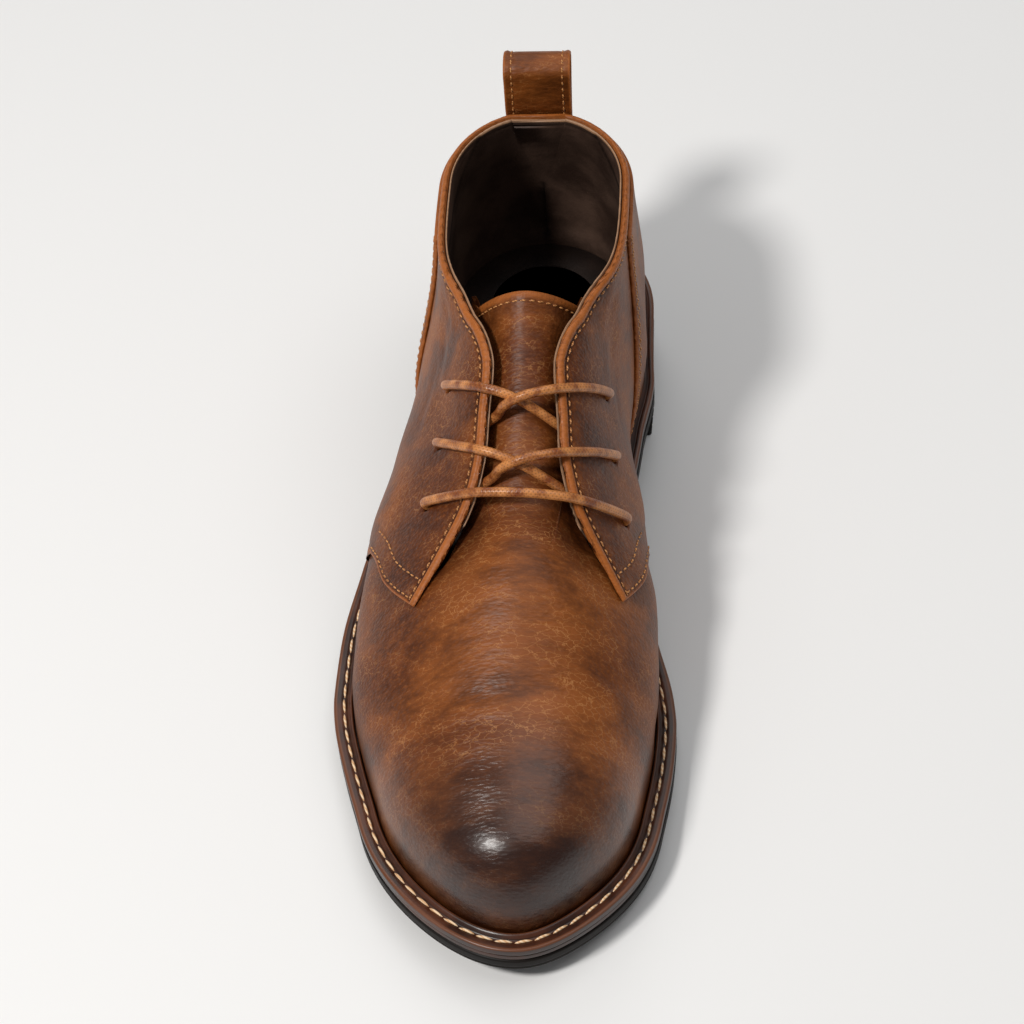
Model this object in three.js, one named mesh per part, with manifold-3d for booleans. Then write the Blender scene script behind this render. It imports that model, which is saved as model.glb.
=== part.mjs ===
// Lace-up ankle boot for the right foot, standing empty on its sole.
// Millimetres, +Z up, toe towards -Y, inner side of the foot towards +X, centred over the floor.
// A place on the boot is given by its distance from the back of the sole towards the toe.
import * as THREE from 'three';
import { mergeVertices } from 'three/addons/utils/BufferGeometryUtils.js';
import Module from 'manifold-3d';

const wasm = await Module();
wasm.setup();

// Main sizes
const soleLength = 300;
const ballWidth = 111;
const heelWidth = 78.6;
const heelRounding = 42;
const toeRounding = 50;
const heelLift = 18;
const heelLength = 76;
const toeSpring = 8;
const outsoleThickness = 5;
const midsoleThickness = 2.4;
const weltThickness = 3;
const insoleThickness = 3;
const heelTaper = 1.4;
const midsoleInset = 0.4;
const clearance = 0.3;

// Welt: how far it stands out from the upper, and the bead along its inner edge
const weltWidthToe = 6.4;
const weltWidthHeel = 4.6;
const beadHeight = 1.2;
const beadWidth = 2;
const edgeRounding = 0.7;

// How square two rounded ends are: the power in (1 - x^power)^(1/power)
const heelPower = 2.15;
const shaftPower = 2.1;

// Upper: heights above the footbed, half widths of the shaft inside, walls
const toeBoxHeight = 36;
const ankleHeight = 88;
const heelCurve = 13.9;
const shaftLateral = 30.4;
const shaftMedial = 31.4;
const shaftRounding = 36;
const vampWall = 1.7;
const quarterWall = 2.9;
const counterThickness = 1.2;
const collarHeight = 97.5;
const facingHeight = 105;

// Throat, eyelets and lace
const throatHalfWidth = 9.3;
const flapHalfWidth = 33;
const eyeletDiameter = 5.4;
const laceDiameter = 3.1;
const tongueThickness = 2.2;
const tongueHalfWidth = 20;
const vampUnderlap = 19;

// Pull loop
const loopWidth = 23;
const loopThickness = 1.5;
const loopTop = 117;
const loopSpread = 8;
const loopFoot = 76;

// How finely round shapes are divided
const aroundSteps = 27;
const formLevels = 18;
const laceSides = 6;
const ringsPerBend = 2;
const tongueColumns = 8;

// Sole outline: half widths as shares of the ball width, or of the heel width where heel is 1
const soleRows = [
  { along: 0.0, lateral: 0.464, medial: 0.471, heel: 1 },
  { along: 0.067, lateral: 0.491, medial: 0.494, heel: 1 },
  { along: 0.167, lateral: 0.5, medial: 0.5, heel: 1 },
  { along: 0.25, lateral: 0.5, medial: 0.496, heel: 0.95 },
  { along: 0.333, lateral: 0.475, medial: 0.415, heel: 0.75 },
  { along: 0.417, lateral: 0.468, medial: 0.329, heel: 0.3 },
  { along: 0.5, lateral: 0.514, medial: 0.321, heel: 0 },
  { along: 0.583, lateral: 0.56, medial: 0.368, heel: 0 },
  { along: 0.667, lateral: 0.57, medial: 0.423, heel: 0 },
  { along: 0.707, lateral: 0.559, medial: 0.433, heel: 0 },
  { along: 0.767, lateral: 0.518, medial: 0.423, heel: 0 },
  { along: 0.833, lateral: 0.462, medial: 0.395, heel: 0 },
  { along: 0.917, lateral: 0.4, medial: 0.358, heel: 0 },
  { along: 1.0, lateral: 0.33, medial: 0.285, heel: 0 },
];

// Underside of the outsole: shares of the heel lift and of the toe spring
const bottomRows = [
  { along: 0.0, lift: 1, spring: 0 },
  { along: 0.25, lift: 1, spring: 0 },
  { along: 0.333, lift: 0.845, spring: 0 },
  { along: 0.467, lift: 0.42, spring: 0 },
  { along: 0.57, lift: 0.11, spring: 0 },
  { along: 0.635, lift: 0, spring: 0 },
  { along: 0.735, lift: 0, spring: 0 },
  { along: 0.833, lift: 0, spring: 0.2 },
  { along: 0.933, lift: 0, spring: 0.61 },
  { along: 1.0, lift: 0, spring: 1 },
];

// Top line of the last from toe to shin: wall is a share of the toe box's height,
// rise a share of the climb from there to the ankle
const ridgeRows = [
  { along: 1.0, wall: 0, rise: 0 },
  { along: 0.9995, wall: 0.14, rise: 0 },
  { along: 0.9955, wall: 0.4, rise: 0 },
  { along: 0.9835, wall: 0.65, rise: 0 },
  { along: 0.962, wall: 0.86, rise: 0 },
  { along: 0.919, wall: 1, rise: 0.005 },
  { along: 0.875, wall: 1, rise: 0.091 },
  { along: 0.823, wall: 1, rise: 0.174 },
  { along: 0.755, wall: 1, rise: 0.308 },
  { along: 0.686, wall: 1, rise: 0.461 },
  { along: 0.617, wall: 1, rise: 0.6 },
  { along: 0.549, wall: 1, rise: 0.723 },
  { along: 0.497, wall: 1, rise: 0.816 },
  { along: 0.446, wall: 1, rise: 0.913 },
  { along: 0.412, wall: 1, rise: 1 },
  { along: 0.384, wall: 1, rise: 1.116 },
  { along: 0.367, wall: 1, rise: 1.28 },
  { along: 0.353, wall: 1, rise: 1.523 },
  { along: 0.343, wall: 1, rise: 1.785 },
];

// Back line of the last: up in ankle heights, forward in shares of the heel curve
const backRows = [
  { up: 0, forward: 0 },
  { up: 0.055, forward: 0 },
  { up: 0.15, forward: -0.09 },
  { up: 0.27, forward: -0.09 },
  { up: 0.43, forward: 0.07 },
  { up: 0.59, forward: 0.345 },
  { up: 0.82, forward: 0.763 },
  { up: 1.02, forward: 1 },
  { up: 1.6, forward: 1.36 },
];

// Sides of the last: how far they swell beyond the footbed, as shares of the ball width
const swellRows = [
  { along: 0.0, lateral: 0.012, medial: 0.012 },
  { along: 0.2, lateral: 0.02, medial: 0.016 },
  { along: 0.33, lateral: 0.056, medial: 0.028 },
  { along: 0.42, lateral: 0.07, medial: 0.062 },
  { along: 0.5, lateral: 0.05, medial: 0.096 },
  { along: 0.58, lateral: 0.024, medial: 0.1 },
  { along: 0.66, lateral: 0.012, medial: 0.052 },
  { along: 0.75, lateral: 0.01, medial: 0.018 },
  { along: 0.9, lateral: 0.014, medial: 0.014 },
  { along: 1.0, lateral: 0.01, medial: 0.01 },
];

// Up the side: swell as a share of the value above, shaft as the share that the shaft's width has
const sideRows = [
  { up: 0, swell: 0, shaft: 0 },
  { up: 0.055, swell: 0, shaft: 0 },
  { up: 0.18, swell: 0.66, shaft: 0.02 },
  { up: 0.34, swell: 1, shaft: 0.2 },
  { up: 0.5, swell: 0.8, shaft: 0.48 },
  { up: 0.7, swell: 0.25, shaft: 0.84 },
  { up: 0.88, swell: 0, shaft: 1 },
  { up: 1.6, swell: 0, shaft: 1 },
];

// How square the sections are under the top line
const squareRows = [
  { along: 0.3, power: 1.6 },
  { along: 0.37, power: 1.85 },
  { along: 0.47, power: 2.1 },
  { along: 0.57, power: 2.25 },
  { along: 0.67, power: 2.3 },
  { along: 0.8, power: 2.35 },
  { along: 1, power: 2.45 },
];

// Collar seen from the side: up from the collar's back to the top of the facings
const collarRows = [
  { along: -0.05, up: 0 },
  { along: 0.06, up: 0 },
  { along: 0.15, up: 0.03 },
  { along: 0.22, up: 0.2 },
  { along: 0.27, up: 0.44 },
  { along: 0.31, up: 0.7 },
  { along: 0.35, up: 1 },
  { along: 0.38, up: 1.4 },
  { along: 0.42, up: 2 },
];

// Edge of each facing: beyond is the share of the way from the throat's to the flap's half width
const facingRows = [
  { along: 0.325, beyond: 0.6 },
  { along: 0.345, beyond: 0.495 },
  { along: 0.363, beyond: 0.385 },
  { along: 0.38, beyond: 0.28 },
  { along: 0.4, beyond: 0.155 },
  { along: 0.42, beyond: 0.06 },
  { along: 0.445, beyond: 0 },
  { along: 0.487, beyond: 0.042 },
  { along: 0.54, beyond: 0.105 },
  { along: 0.58, beyond: 0.274 },
  { along: 0.62, beyond: 0.63 },
  { along: 0.655, beyond: 0.954 },
];

// Lower front edge of the quarters seen from the side: up in shares of the ankle height
const flapRows = [
  { along: 0.648, up: 0.5 },
  { along: 0.605, up: 0.415 },
  { along: 0.55, up: 0.32 },
  { along: 0.515, up: 0.19 },
  { along: 0.497, up: 0.05 },
  { along: 0.49, up: -0.12 },
];

// Front edge of the counter seen from the side
const counterRows = [
  { along: 0.235, up: 1.1 },
  { along: 0.26, up: 0.76 },
  { along: 0.295, up: 0.45 },
  { along: 0.33, up: 0.2 },
  { along: 0.36, up: -0.06 },
];

// Eyelets: across is a share of the flap's half width
const eyeletRows = [
  { along: 0.424, across: 0.69 },
  { along: 0.484, across: 0.77 },
  { along: 0.545, across: 0.885 },
];

// Throat floor: how far the vamp and the tongue have sunk from the vamp's surface to the tongue's seat
const sinkRows = [
  { along: 0.57, sunk: 1 },
  { along: 0.59, sunk: 0.86 },
  { along: 0.62, sunk: 0.42 },
  { along: 0.65, sunk: 0.07 },
  { along: 0.67, sunk: 0 },
];

// Tongue, from the vamp to its top: widen is a share of its half width
const tongueRows = [
  { along: 0.6, widen: 1.18 },
  { along: 0.58, widen: 1.1 },
  { along: 0.56, widen: 1.02 },
  { along: 0.53, widen: 0.97 },
  { along: 0.48, widen: 0.97 },
  { along: 0.44, widen: 1.06 },
  { along: 0.41, widen: 1.1 },
  { along: 0.382, widen: 1.12 },
];

const clamp = (value, low, high) => Math.min(Math.max(value, low), high);
const mix = (a, b, share) => a + (b - a) * share;
const at = (share) => share * soleLength;

// Curve through two columns of a table: cubic pieces whose slopes do not overshoot the rows.
function through(rows, from, to) {
  const sorted = [...rows].sort((a, b) => a[from] - b[from]);
  const x = sorted.map((row) => row[from]);
  const y = sorted.map((row) => row[to]);
  const last = x.length - 1;
  const secant = x.slice(1).map((value, i) => (y[i + 1] - y[i]) / (value - x[i]));
  const slope = x.map((value, i) => {
    if (i === 0) return secant[0];
    if (i === last) return secant[last - 1];
    if (secant[i - 1] * secant[i] <= 0) return 0;
    const before = value - x[i - 1];
    const after = x[i + 1] - value;
    const mean = (secant[i - 1] * after + secant[i] * before) / (before + after);
    const limit = 3 * Math.min(Math.abs(secant[i - 1]), Math.abs(secant[i]));
    return Math.sign(mean) * Math.min(Math.abs(mean), limit);
  });
  return (value) => {
    if (value <= x[0]) return y[0] + (value - x[0]) * slope[0];
    if (value >= x[last]) return y[last] + (value - x[last]) * slope[last];
    let i = 0;
    while (value > x[i + 1]) i += 1;
    const gap = x[i + 1] - x[i];
    const t = (value - x[i]) / gap;
    return (1 + 2 * t) * (1 - t) ** 2 * y[i] + t * (1 - t) ** 2 * gap * slope[i]
      + t * t * (3 - 2 * t) * y[i + 1] + t * t * (t - 1) * gap * slope[i + 1];
  };
}

// Straight interpolation in two long lists, the first rising.
function between(x, y, value) {
  const last = x.length - 1;
  if (value <= x[0]) return y[0];
  if (value >= x[last]) return y[last];
  let low = 0;
  let high = last;
  while (high - low > 1) {
    const middle = (low + high) >> 1;
    if (x[middle] > value) high = middle;
    else low = middle;
  }
  return mix(y[low], y[high], (value - x[low]) / (x[high] - x[low]));
}

const lateralShare = through(soleRows, 'along', 'lateral');
const medialShare = through(soleRows, 'along', 'medial');
const heelPart = through(soleRows, 'along', 'heel');
const liftShare = through(bottomRows, 'along', 'lift');
const springShare = through(bottomRows, 'along', 'spring');

// Half width of the sole at a place, side -1 lateral or 1 medial, with both ends rounded.
function soleHalf(place, side) {
  const share = place / soleLength;
  const width = mix(ballWidth, heelWidth, clamp(heelPart(share), 0, 1));
  const half = width * (side < 0 ? lateralShare(share) : medialShare(share));
  const heel = clamp(1 - place / heelRounding, 0, 1);
  const toe = clamp(1 - (soleLength - place) / toeRounding, 0, 1);
  return half * (1 - heel ** heelPower) ** (1 / heelPower) * Math.sqrt(1 - toe ** 2);
}

const weltWidth = (place) => mix(weltWidthHeel, weltWidthToe, clamp((place - at(0.35)) / at(0.3), 0, 1));

// Outline parallel to the sole's, moved inwards by a distance that may change with the place.
function outline(inset) {
  const fine = 240;
  const sides = [-1, 1].map((side) => {
    const raw = [];
    for (let i = -2; i <= fine + 2; i += 1) {
      const turn = Math.PI * (1 - i / fine);
      const place = soleLength * (1 + Math.cos(turn)) / 2;
      const beyond = i < 0 || i > fine ? -1 : 1;
      raw.push([place, beyond * soleHalf(place, beyond * side)]);
    }
    const places = [];
    const halves = [];
    for (let i = 1; i < raw.length - 1; i += 1) {
      const dx = raw[i + 1][0] - raw[i - 1][0];
      const dy = raw[i + 1][1] - raw[i - 1][1];
      const run = Math.hypot(dx, dy);
      const depth = inset(raw[i][0]);
      const place = raw[i][0] + depth * dy / run;
      const half = raw[i][1] - depth * dx / run;
      if (half > 0 && (places.length === 0 || place > places[places.length - 1])) {
        places.push(place);
        halves.push(half);
      }
    }
    return { places, halves };
  });
  const start = Math.min(sides[0].places[0], sides[1].places[0]);
  const end = Math.max(sides[0].places.at(-1), sides[1].places.at(-1));
  for (const { places, halves } of sides) {
    places.unshift(start - 0.01);
    halves.unshift(0);
    places.push(end + 0.01);
    halves.push(0);
  }
  const half = (place, side) => {
    const { places, halves } = sides[side < 0 ? 0 : 1];
    return between(places, halves, place);
  };
  return { start, end, half };
}

const soleOutline = outline(() => 0);
const centreX = (soleOutline.half(at(0.66), -1) - soleOutline.half(at(0.71), 1)) / 2;

// Heights of the layers over a place.
const bottomOf = (place) => heelLift * clamp(liftShare(place / soleLength), 0, 1)
  + toeSpring * Math.max(springShare(place / soleLength), 0);
const midsoleFloor = (place) => bottomOf(place) + outsoleThickness + clearance;
const midsoleTop = (place) => midsoleFloor(place) + midsoleThickness;
const footbed = (place) => midsoleTop(place) + clearance;

// The last: its footbed outline lies inside the welt, the clearance and the wall.
const wallOf = (place) => mix(quarterWall, vampWall, clamp((place - at(0.5)) / at(0.15), 0, 1));
const lastOutline = outline((place) => weltWidth(place) + clearance + wallOf(place));

const backShare = through(backRows, 'up', 'forward');
const swellLateral = through(swellRows, 'along', 'lateral');
const swellMedial = through(swellRows, 'along', 'medial');
const swellUp = through(sideRows, 'up', 'swell');
const shaftUp = through(sideRows, 'up', 'shaft');
const squareness = through(squareRows, 'along', 'power');
const backOf = (height) => lastOutline.start + heelCurve * backShare(height / ankleHeight);

// Dense top line of the last, as places and heights from the toe up.
function topLine() {
  const span = lastOutline.end;
  const points = ridgeRows.map((row) => new THREE.Vector2(
    row.along * span,
    toeBoxHeight * row.wall + (ankleHeight - toeBoxHeight) * row.rise,
  ));
  const run = [0];
  for (let i = 1; i < points.length; i += 1) run.push(run[i - 1] + points[i].distanceTo(points[i - 1]));
  const rows = points.map((point, i) => ({ run: run[i], place: point.x, height: point.y }));
  const place = through(rows, 'run', 'place');
  const height = through(rows, 'run', 'height');
  const fine = 900;
  const places = [];
  const heights = [];
  for (let i = 0; i <= fine; i += 1) {
    places.push(place(run.at(-1) * i / fine));
    heights.push(height(run.at(-1) * i / fine));
  }
  return { places, heights, total: run.at(-1), height };
}

const top = topLine();
const backwards = { places: [...top.places].reverse(), heights: [...top.heights].reverse() };
const frontOf = (height) => between(top.heights, top.places, height);
const shinSlope = (top.heights.at(-1) - top.heights.at(-2)) / (top.places.at(-2) - top.places.at(-1));
const ridgeOf = (place) => (place < backwards.places[0]
  ? backwards.heights[0] + (backwards.places[0] - place) * shinSlope
  : between(backwards.places, backwards.heights, place));

const swellFade = 20;

// Half width of the last over a place at a height above the footbed:
// (footbed's half width + swell, turning into the shaft's) x root(1 - (height / ridge)^power)
function lastHalf(place, height, side) {
  const share = place / soleLength;
  const up = height / ankleHeight;
  const shift = (backOf(height) - backOf(0)) * clamp(1 - place / at(0.5), 0, 1) ** 1.5;
  const moved = place - shift;
  const swell = ballWidth * (side < 0 ? swellLateral(share) : swellMedial(share)) * swellUp(up);
  const rounded = Math.min(1, 0.05 + lastOutline.half(moved, side) / swellFade);
  const foot = lastOutline.half(moved, side) + swell * rounded;
  const behind = clamp(1 - (moved - lastOutline.start) / shaftRounding, 0, 1);
  const shaft = (side < 0 ? shaftLateral : shaftMedial) * (1 - behind ** shaftPower) ** (1 / shaftPower);
  const half = mix(foot, shaft, clamp(shaftUp(up), 0, 1));
  const part = clamp(height / Math.max(ridgeOf(place), 1e-6), 0, 1);
  return half * Math.sqrt(1 - part ** squareness(share));
}

// Point on the last at a height, turned from the front (0) over the lateral side to the back (pi) and on.
function lastPoint(height, turn) {
  const side = Math.sin(turn) >= 0 ? -1 : 1;
  const back = backOf(height);
  const place = back + (frontOf(height) - back) * (1 + Math.cos(turn)) / 2;
  const half = lastHalf(place, height, side);
  return new THREE.Vector3(centreX + side * half, soleLength / 2 - place, footbed(place) + height);
}

// The same point moved out along the surface's normal by an offset, which may follow place and height.
function lastOffset(height, turn, offset) {
  const point = lastPoint(height, turn);
  const depth = typeof offset === 'number' ? offset : offset(soleLength / 2 - point.y, height);
  const dh = 0.2;
  const dt = 0.02;
  const low = height < dh ? 0 : height - dh;
  const upward = lastPoint(height + dh, turn).sub(lastPoint(low, turn));
  const around = lastPoint(height, turn + dt).sub(lastPoint(height, turn - dt));
  const normal = upward.cross(around).normalize();
  return point.addScaledVector(normal, depth);
}

// Height on the last's side where it has a given half width over a place.
function climb(place, across) {
  const side = across < 0 ? -1 : 1;
  let low = ridgeOf(place) * 0.3;
  let high = ridgeOf(place);
  for (let i = 0; i < 40; i += 1) {
    const middle = (low + high) / 2;
    if (lastHalf(place, middle, side) > Math.abs(across)) low = middle;
    else high = middle;
  }
  return high;
}

// The throat's floor sinks under the facings, to leave room for the lace, and stays up at the sides.
const seat = -(laceDiameter + 5 * clearance);
const throatEdge = 0.3;
const seatEdge = 0.64;
const seatFade = 0.2;
const seatStart = 0.525;
const seatLength = 0.05;
const sunkShare = through(sinkRows, 'along', 'sunk');
function sinkAt(place, height) {
  const along = clamp(sunkShare(place / soleLength), 0, 1);
  const edge = mix(throatEdge, seatEdge, clamp((place - at(seatStart)) / at(seatLength), 0, 1));
  const rise = clamp((height / Math.max(ridgeOf(place), 1) - edge) / seatFade, 0, 1);
  return (vampWall - seat) * along * rise * rise * (3 - 2 * rise);
}

const vampOutside = (place, height) => vampWall - sinkAt(place, height);

// Point over the instep at a place and a distance across, lifted off the last.
function overInstep(place, across, lift) {
  const height = climb(place, across);
  const back = backOf(height);
  const cosine = clamp(2 * (place - back) / (frontOf(height) - back) - 1, -1, 1);
  const turn = Math.acos(cosine) * (across < 0 ? 1 : -1);
  return lastOffset(height, turn, lift);
}

// Closed body from rings of equal length; the ends are closed by strips across each ring.
function ringSolid(rings) {
  const count = rings[0].length;
  const position = rings.flat().flatMap((point) => [point.x, point.y, point.z]);
  const index = [];
  for (let r = 0; r < rings.length - 1; r += 1) {
    for (let i = 0; i < count; i += 1) {
      const a = r * count + i;
      const b = r * count + (i + 1) % count;
      index.push(a, b, b + count, a, b + count, a + count);
    }
  }
  const close = (base, flip) => {
    for (let i = 0; i < count / 2; i += 1) {
      const a = base + i;
      const b = base + i + 1;
      const c = base + (count - i - 1) % count;
      const d = base + (count - i) % count;
      if (c !== b) index.push(...(flip ? [a, c, b] : [a, b, c]));
      if (a !== d) index.push(...(flip ? [a, d, c] : [a, c, d]));
    }
  };
  close(0, true);
  close((rings.length - 1) * count, false);
  return facing(position, index);
}

// Closed tube from rings that return to the first.
function loopSolid(rings) {
  const count = rings[0].length;
  const position = rings.flat().flatMap((point) => [point.x, point.y, point.z]);
  const index = [];
  for (let r = 0; r < rings.length; r += 1) {
    const next = (r + 1) % rings.length;
    for (let i = 0; i < count; i += 1) {
      const a = r * count + i;
      const b = r * count + (i + 1) % count;
      const c = next * count + (i + 1) % count;
      const d = next * count + i;
      index.push(a, b, c, a, c, d);
    }
  }
  return facing(position, index);
}

// Geometry from points and triangles, turned outward when its volume comes out negative.
function facing(position, index) {
  let volume = 0;
  const corner = (i) => new THREE.Vector3(position[3 * i], position[3 * i + 1], position[3 * i + 2]);
  for (let i = 0; i < index.length; i += 3) {
    volume += corner(index[i]).dot(corner(index[i + 1]).cross(corner(index[i + 2])));
  }
  const turned = [];
  for (let i = 0; i < index.length; i += 3) {
    turned.push(index[i], ...(volume < 0 ? [index[i + 2], index[i + 1]] : [index[i + 1], index[i + 2]]));
  }
  const geometry = new THREE.BufferGeometry();
  geometry.setAttribute('position', new THREE.Float32BufferAttribute(position, 3));
  geometry.setIndex(turned);
  return geometry;
}

// To a manifold body and back.
function solid(geometry) {
  const bare = geometry.clone();
  bare.deleteAttribute('normal');
  bare.deleteAttribute('uv');
  const merged = mergeVertices(bare, 1e-4);
  return new wasm.Manifold(new wasm.Mesh({
    numProp: 3,
    vertProperties: new Float32Array(merged.attributes.position.array),
    triVerts: new Uint32Array(merged.index.array),
  }));
}

function geometryOf(body) {
  const mesh = body.getMesh();
  const geometry = new THREE.BufferGeometry();
  geometry.setAttribute('position', new THREE.Float32BufferAttribute(Array.from(mesh.vertProperties), 3));
  geometry.setIndex(Array.from(mesh.triVerts));
  return geometry;
}

// Places along an outline, close together at its round ends.
function stations(line) {
  return Array.from({ length: aroundSteps + 1 }, (_, i) => {
    const share = (1 + Math.cos(Math.PI * i / aroundSteps)) / 2;
    return mix(line.start, line.end, share);
  });
}

// Ring of points around an outline at a height that follows the place.
function outlineRing(line, level) {
  const places = stations(line);
  const point = (place, side, half) => new THREE.Vector3(
    side * half + centreX,
    soleLength / 2 - place,
    level(place),
  );
  const inner = places.slice(1, -1);
  return [
    point(places[0], 1, 0),
    ...inner.map((place) => point(place, -1, line.half(place, -1))),
    point(places.at(-1), 1, 0),
    ...inner.reverse().map((place) => point(place, 1, line.half(place, 1))),
  ];
}

// Plate under the foot between two levels, its upper and lower edges slightly rounded.
function plate(inset, lower, upper, rounding) {
  const edge = outline(() => inset);
  const eased = outline(() => inset + rounding);
  return ringSolid([
    outlineRing(eased, lower),
    outlineRing(edge, (place) => lower(place) + rounding),
    outlineRing(edge, (place) => upper(place) - rounding),
    outlineRing(eased, upper),
  ]);
}

// Closed form of the last, grown by an offset, from one height to another.
function form(offset, from) {
  const straight = weltThickness + beadHeight;
  const along = Array.from({ length: formLevels }, (_, i) => top.height(top.total * (i + 1) / formLevels));
  const levels = [0, straight, ...along.filter((height) => height > straight + 2)];
  const rings = levels.map((height) => Array.from(
    { length: 2 * aroundSteps },
    (_, i) => lastOffset(height, Math.PI * i / aroundSteps, offset),
  ));
  if (from < 0) rings.unshift(rings[0].map((point) => point.clone().add(new THREE.Vector3(0, 0, from))));
  return ringSolid(rings);
}

// Heights well clear of the boot, for the bodies that cut it
const farUp = soleLength;
const farDown = -heelLift;

// Body bounded by a flat outline, drawn along one direction through a depth.
function prism(points, origin, first, second, depth) {
  const shape = new THREE.Shape(points.map(([x, y]) => new THREE.Vector2(x, y)));
  const geometry = new THREE.ExtrudeGeometry(shape, { depth, bevelEnabled: false });
  const third = first.clone().cross(second);
  geometry.applyMatrix4(new THREE.Matrix4().makeBasis(first, second, third).setPosition(origin));
  return solid(geometry);
}

// Prism right across the boot from a side view of places and heights above the floor.
function sidePrism(points) {
  return prism(
    points.map(([place, up]) => [soleLength / 2 - place, up]),
    new THREE.Vector3(-soleLength / 2, 0, 0),
    new THREE.Vector3(0, 1, 0),
    new THREE.Vector3(0, 0, 1),
    soleLength,
  );
}

// Side view points of a table that gives heights above the footbed in ankle heights.
const sideLine = (rows) => rows.map(({ along, up }) => [at(along), footbed(at(along)) + up * ankleHeight]);

// Directions on the instep: down its slope towards the toe, and out of it.
const slopeStart = lastPoint(climb(at(0.435), 0), 0);
const slopeEnd = lastPoint(climb(at(0.66), 0), 0);
const downSlope = slopeEnd.clone().sub(slopeStart).setX(0).normalize();
const outOfSlope = new THREE.Vector3(0, downSlope.z, -downSlope.y);

// Place at which a point that far across and lifted off the instep lies at a distance down its slope.
function placeAcross(goal, start, across, lift) {
  let place = start;
  for (let i = 0; i < 12; i += 1) {
    place += (goal - overInstep(place, across, lift).dot(downSlope)) * -downSlope.y;
  }
  return place;
}

// Point over the instep in the plane square to the slope that passes through a place on its middle.
function squareAcross(place, across, lift) {
  const goal = overInstep(place, 0, 0).dot(downSlope);
  return overInstep(placeAcross(goal, place, across, lift), across, lift);
}

// Soles
const beadOutline = outline((place) => weltWidth(place) - beadWidth);
const weltInner = outline(weltWidth);
const insoleOutline = outline((place) => weltWidth(place) + wallOf(place) + 2 * clearance);

const outsole = plate(0, bottomOf, (place) => bottomOf(place) + outsoleThickness, edgeRounding);
const midsole = plate(midsoleInset, midsoleFloor, midsoleTop, edgeRounding / 2);

function heelBlock() {
  const height = heelLift - clearance;
  const rings = [
    outlineRing(outline(() => heelTaper), () => 0),
    outlineRing(outline(() => 0), () => height - edgeRounding),
    outlineRing(outline(() => edgeRounding), () => height),
  ];
  const front = [
    [-heelLength, farDown],
    [heelLength + heelTaper, farDown],
    [heelLength + heelTaper, 0],
    [heelLength, height],
    [heelLength, farUp],
    [-heelLength, farUp],
  ];
  return geometryOf(solid(ringSolid(rings)).intersect(sidePrism(front)));
}

// Welt: a closed band with a raised bead against the upper and a flat lip outside.
function weltBand() {
  const above = (rise) => (place) => footbed(place) + rise;
  const lines = [
    outlineRing(weltInner, above(0)),
    outlineRing(weltInner, above(weltThickness + beadHeight * 0.6)),
    outlineRing(outline((place) => weltWidth(place) - beadWidth / 2), above(weltThickness + beadHeight)),
    outlineRing(beadOutline, above(weltThickness)),
    outlineRing(outline(() => edgeRounding), above(weltThickness)),
    outlineRing(outline(() => 0), above(weltThickness - edgeRounding)),
    outlineRing(outline(() => 0), above(edgeRounding / 2)),
    outlineRing(outline(() => edgeRounding / 2), above(0)),
  ];
  return loopSolid(lines[0].map((_, i) => lines.map((line) => line[i])));
}

const insole = ringSolid([
  outlineRing(insoleOutline, footbed),
  outlineRing(insoleOutline, (place) => footbed(place) + insoleThickness),
]);

// Upper
const seamPlace = at(tongueRows[0].along);

// What lies above the collar, seen from the side.
function aboveCollar(lower) {
  const rows = collarRows.map(({ along, up }) => [
    at(along),
    mix(collarHeight, facingHeight, up) - lower,
  ]);
  return sidePrism([...rows, [rows.at(-1)[0], farUp], [rows[0][0], farUp]]);
}

// Strip over the instep between two lifts, its rows a half width at each place.
function instepStrip(rows, low, high, columns, pointAt) {
  return ringSolid(rows.map(({ along, half }) => {
    const row = (lift) => Array.from(
      { length: columns + 1 },
      (_, i) => pointAt(at(along), half * (2 * i / columns - 1), lift),
    );
    return [...row(high), ...row(low).reverse()];
  }));
}

// What lies between the two facings, cut square to the surface along their edges.
function throatCutter() {
  const share = through(facingRows, 'along', 'beyond');
  const [first, last] = [facingRows[0].along, facingRows.at(-1).along];
  const steps = 24;
  const rows = Array.from({ length: steps + 1 }, (_, i) => {
    const along = mix(first, last, i / steps);
    return { along, half: mix(throatHalfWidth, flapHalfWidth, share(along)) };
  });
  return solid(instepStrip(rows, -2 * quarterWall, 3 * quarterWall, 10, overInstep));
}

// What lies in front of the flaps' lower edges.
const flapLine = sideLine(flapRows);
const beforeFlaps = () => sidePrism([
  [flapLine[0][0], farUp],
  ...flapLine,
  [flapLine.at(-1)[0], farDown],
  [soleLength + heelLift, farDown],
  [soleLength + heelLift, farUp],
]);

// The vamp ends on a plane square to the instep's slope, where the tongue begins,
// and below the tongue's edges it runs on under the quarters.
function vampRegion() {
  const start = overInstep(seamPlace, 0, 0).addScaledVector(downSlope, clearance);
  const high = start.clone().addScaledVector(outOfSlope, soleLength);
  const low = start.clone().addScaledVector(outOfSlope, -vampUnderlap);
  const side = (point) => [soleLength / 2 - point.y, point.z];
  const [lowPlace, lowUp] = side(low);
  const hidden = flapLine.at(-1)[0] - 2 * vampWall;
  const beyond = soleLength + heelLift;
  return sidePrism([
    [lowPlace, lowUp],
    [hidden, lowUp],
    [hidden, farDown],
    [beyond, farDown],
    [beyond, farUp],
    side(high),
  ]);
}

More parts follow.
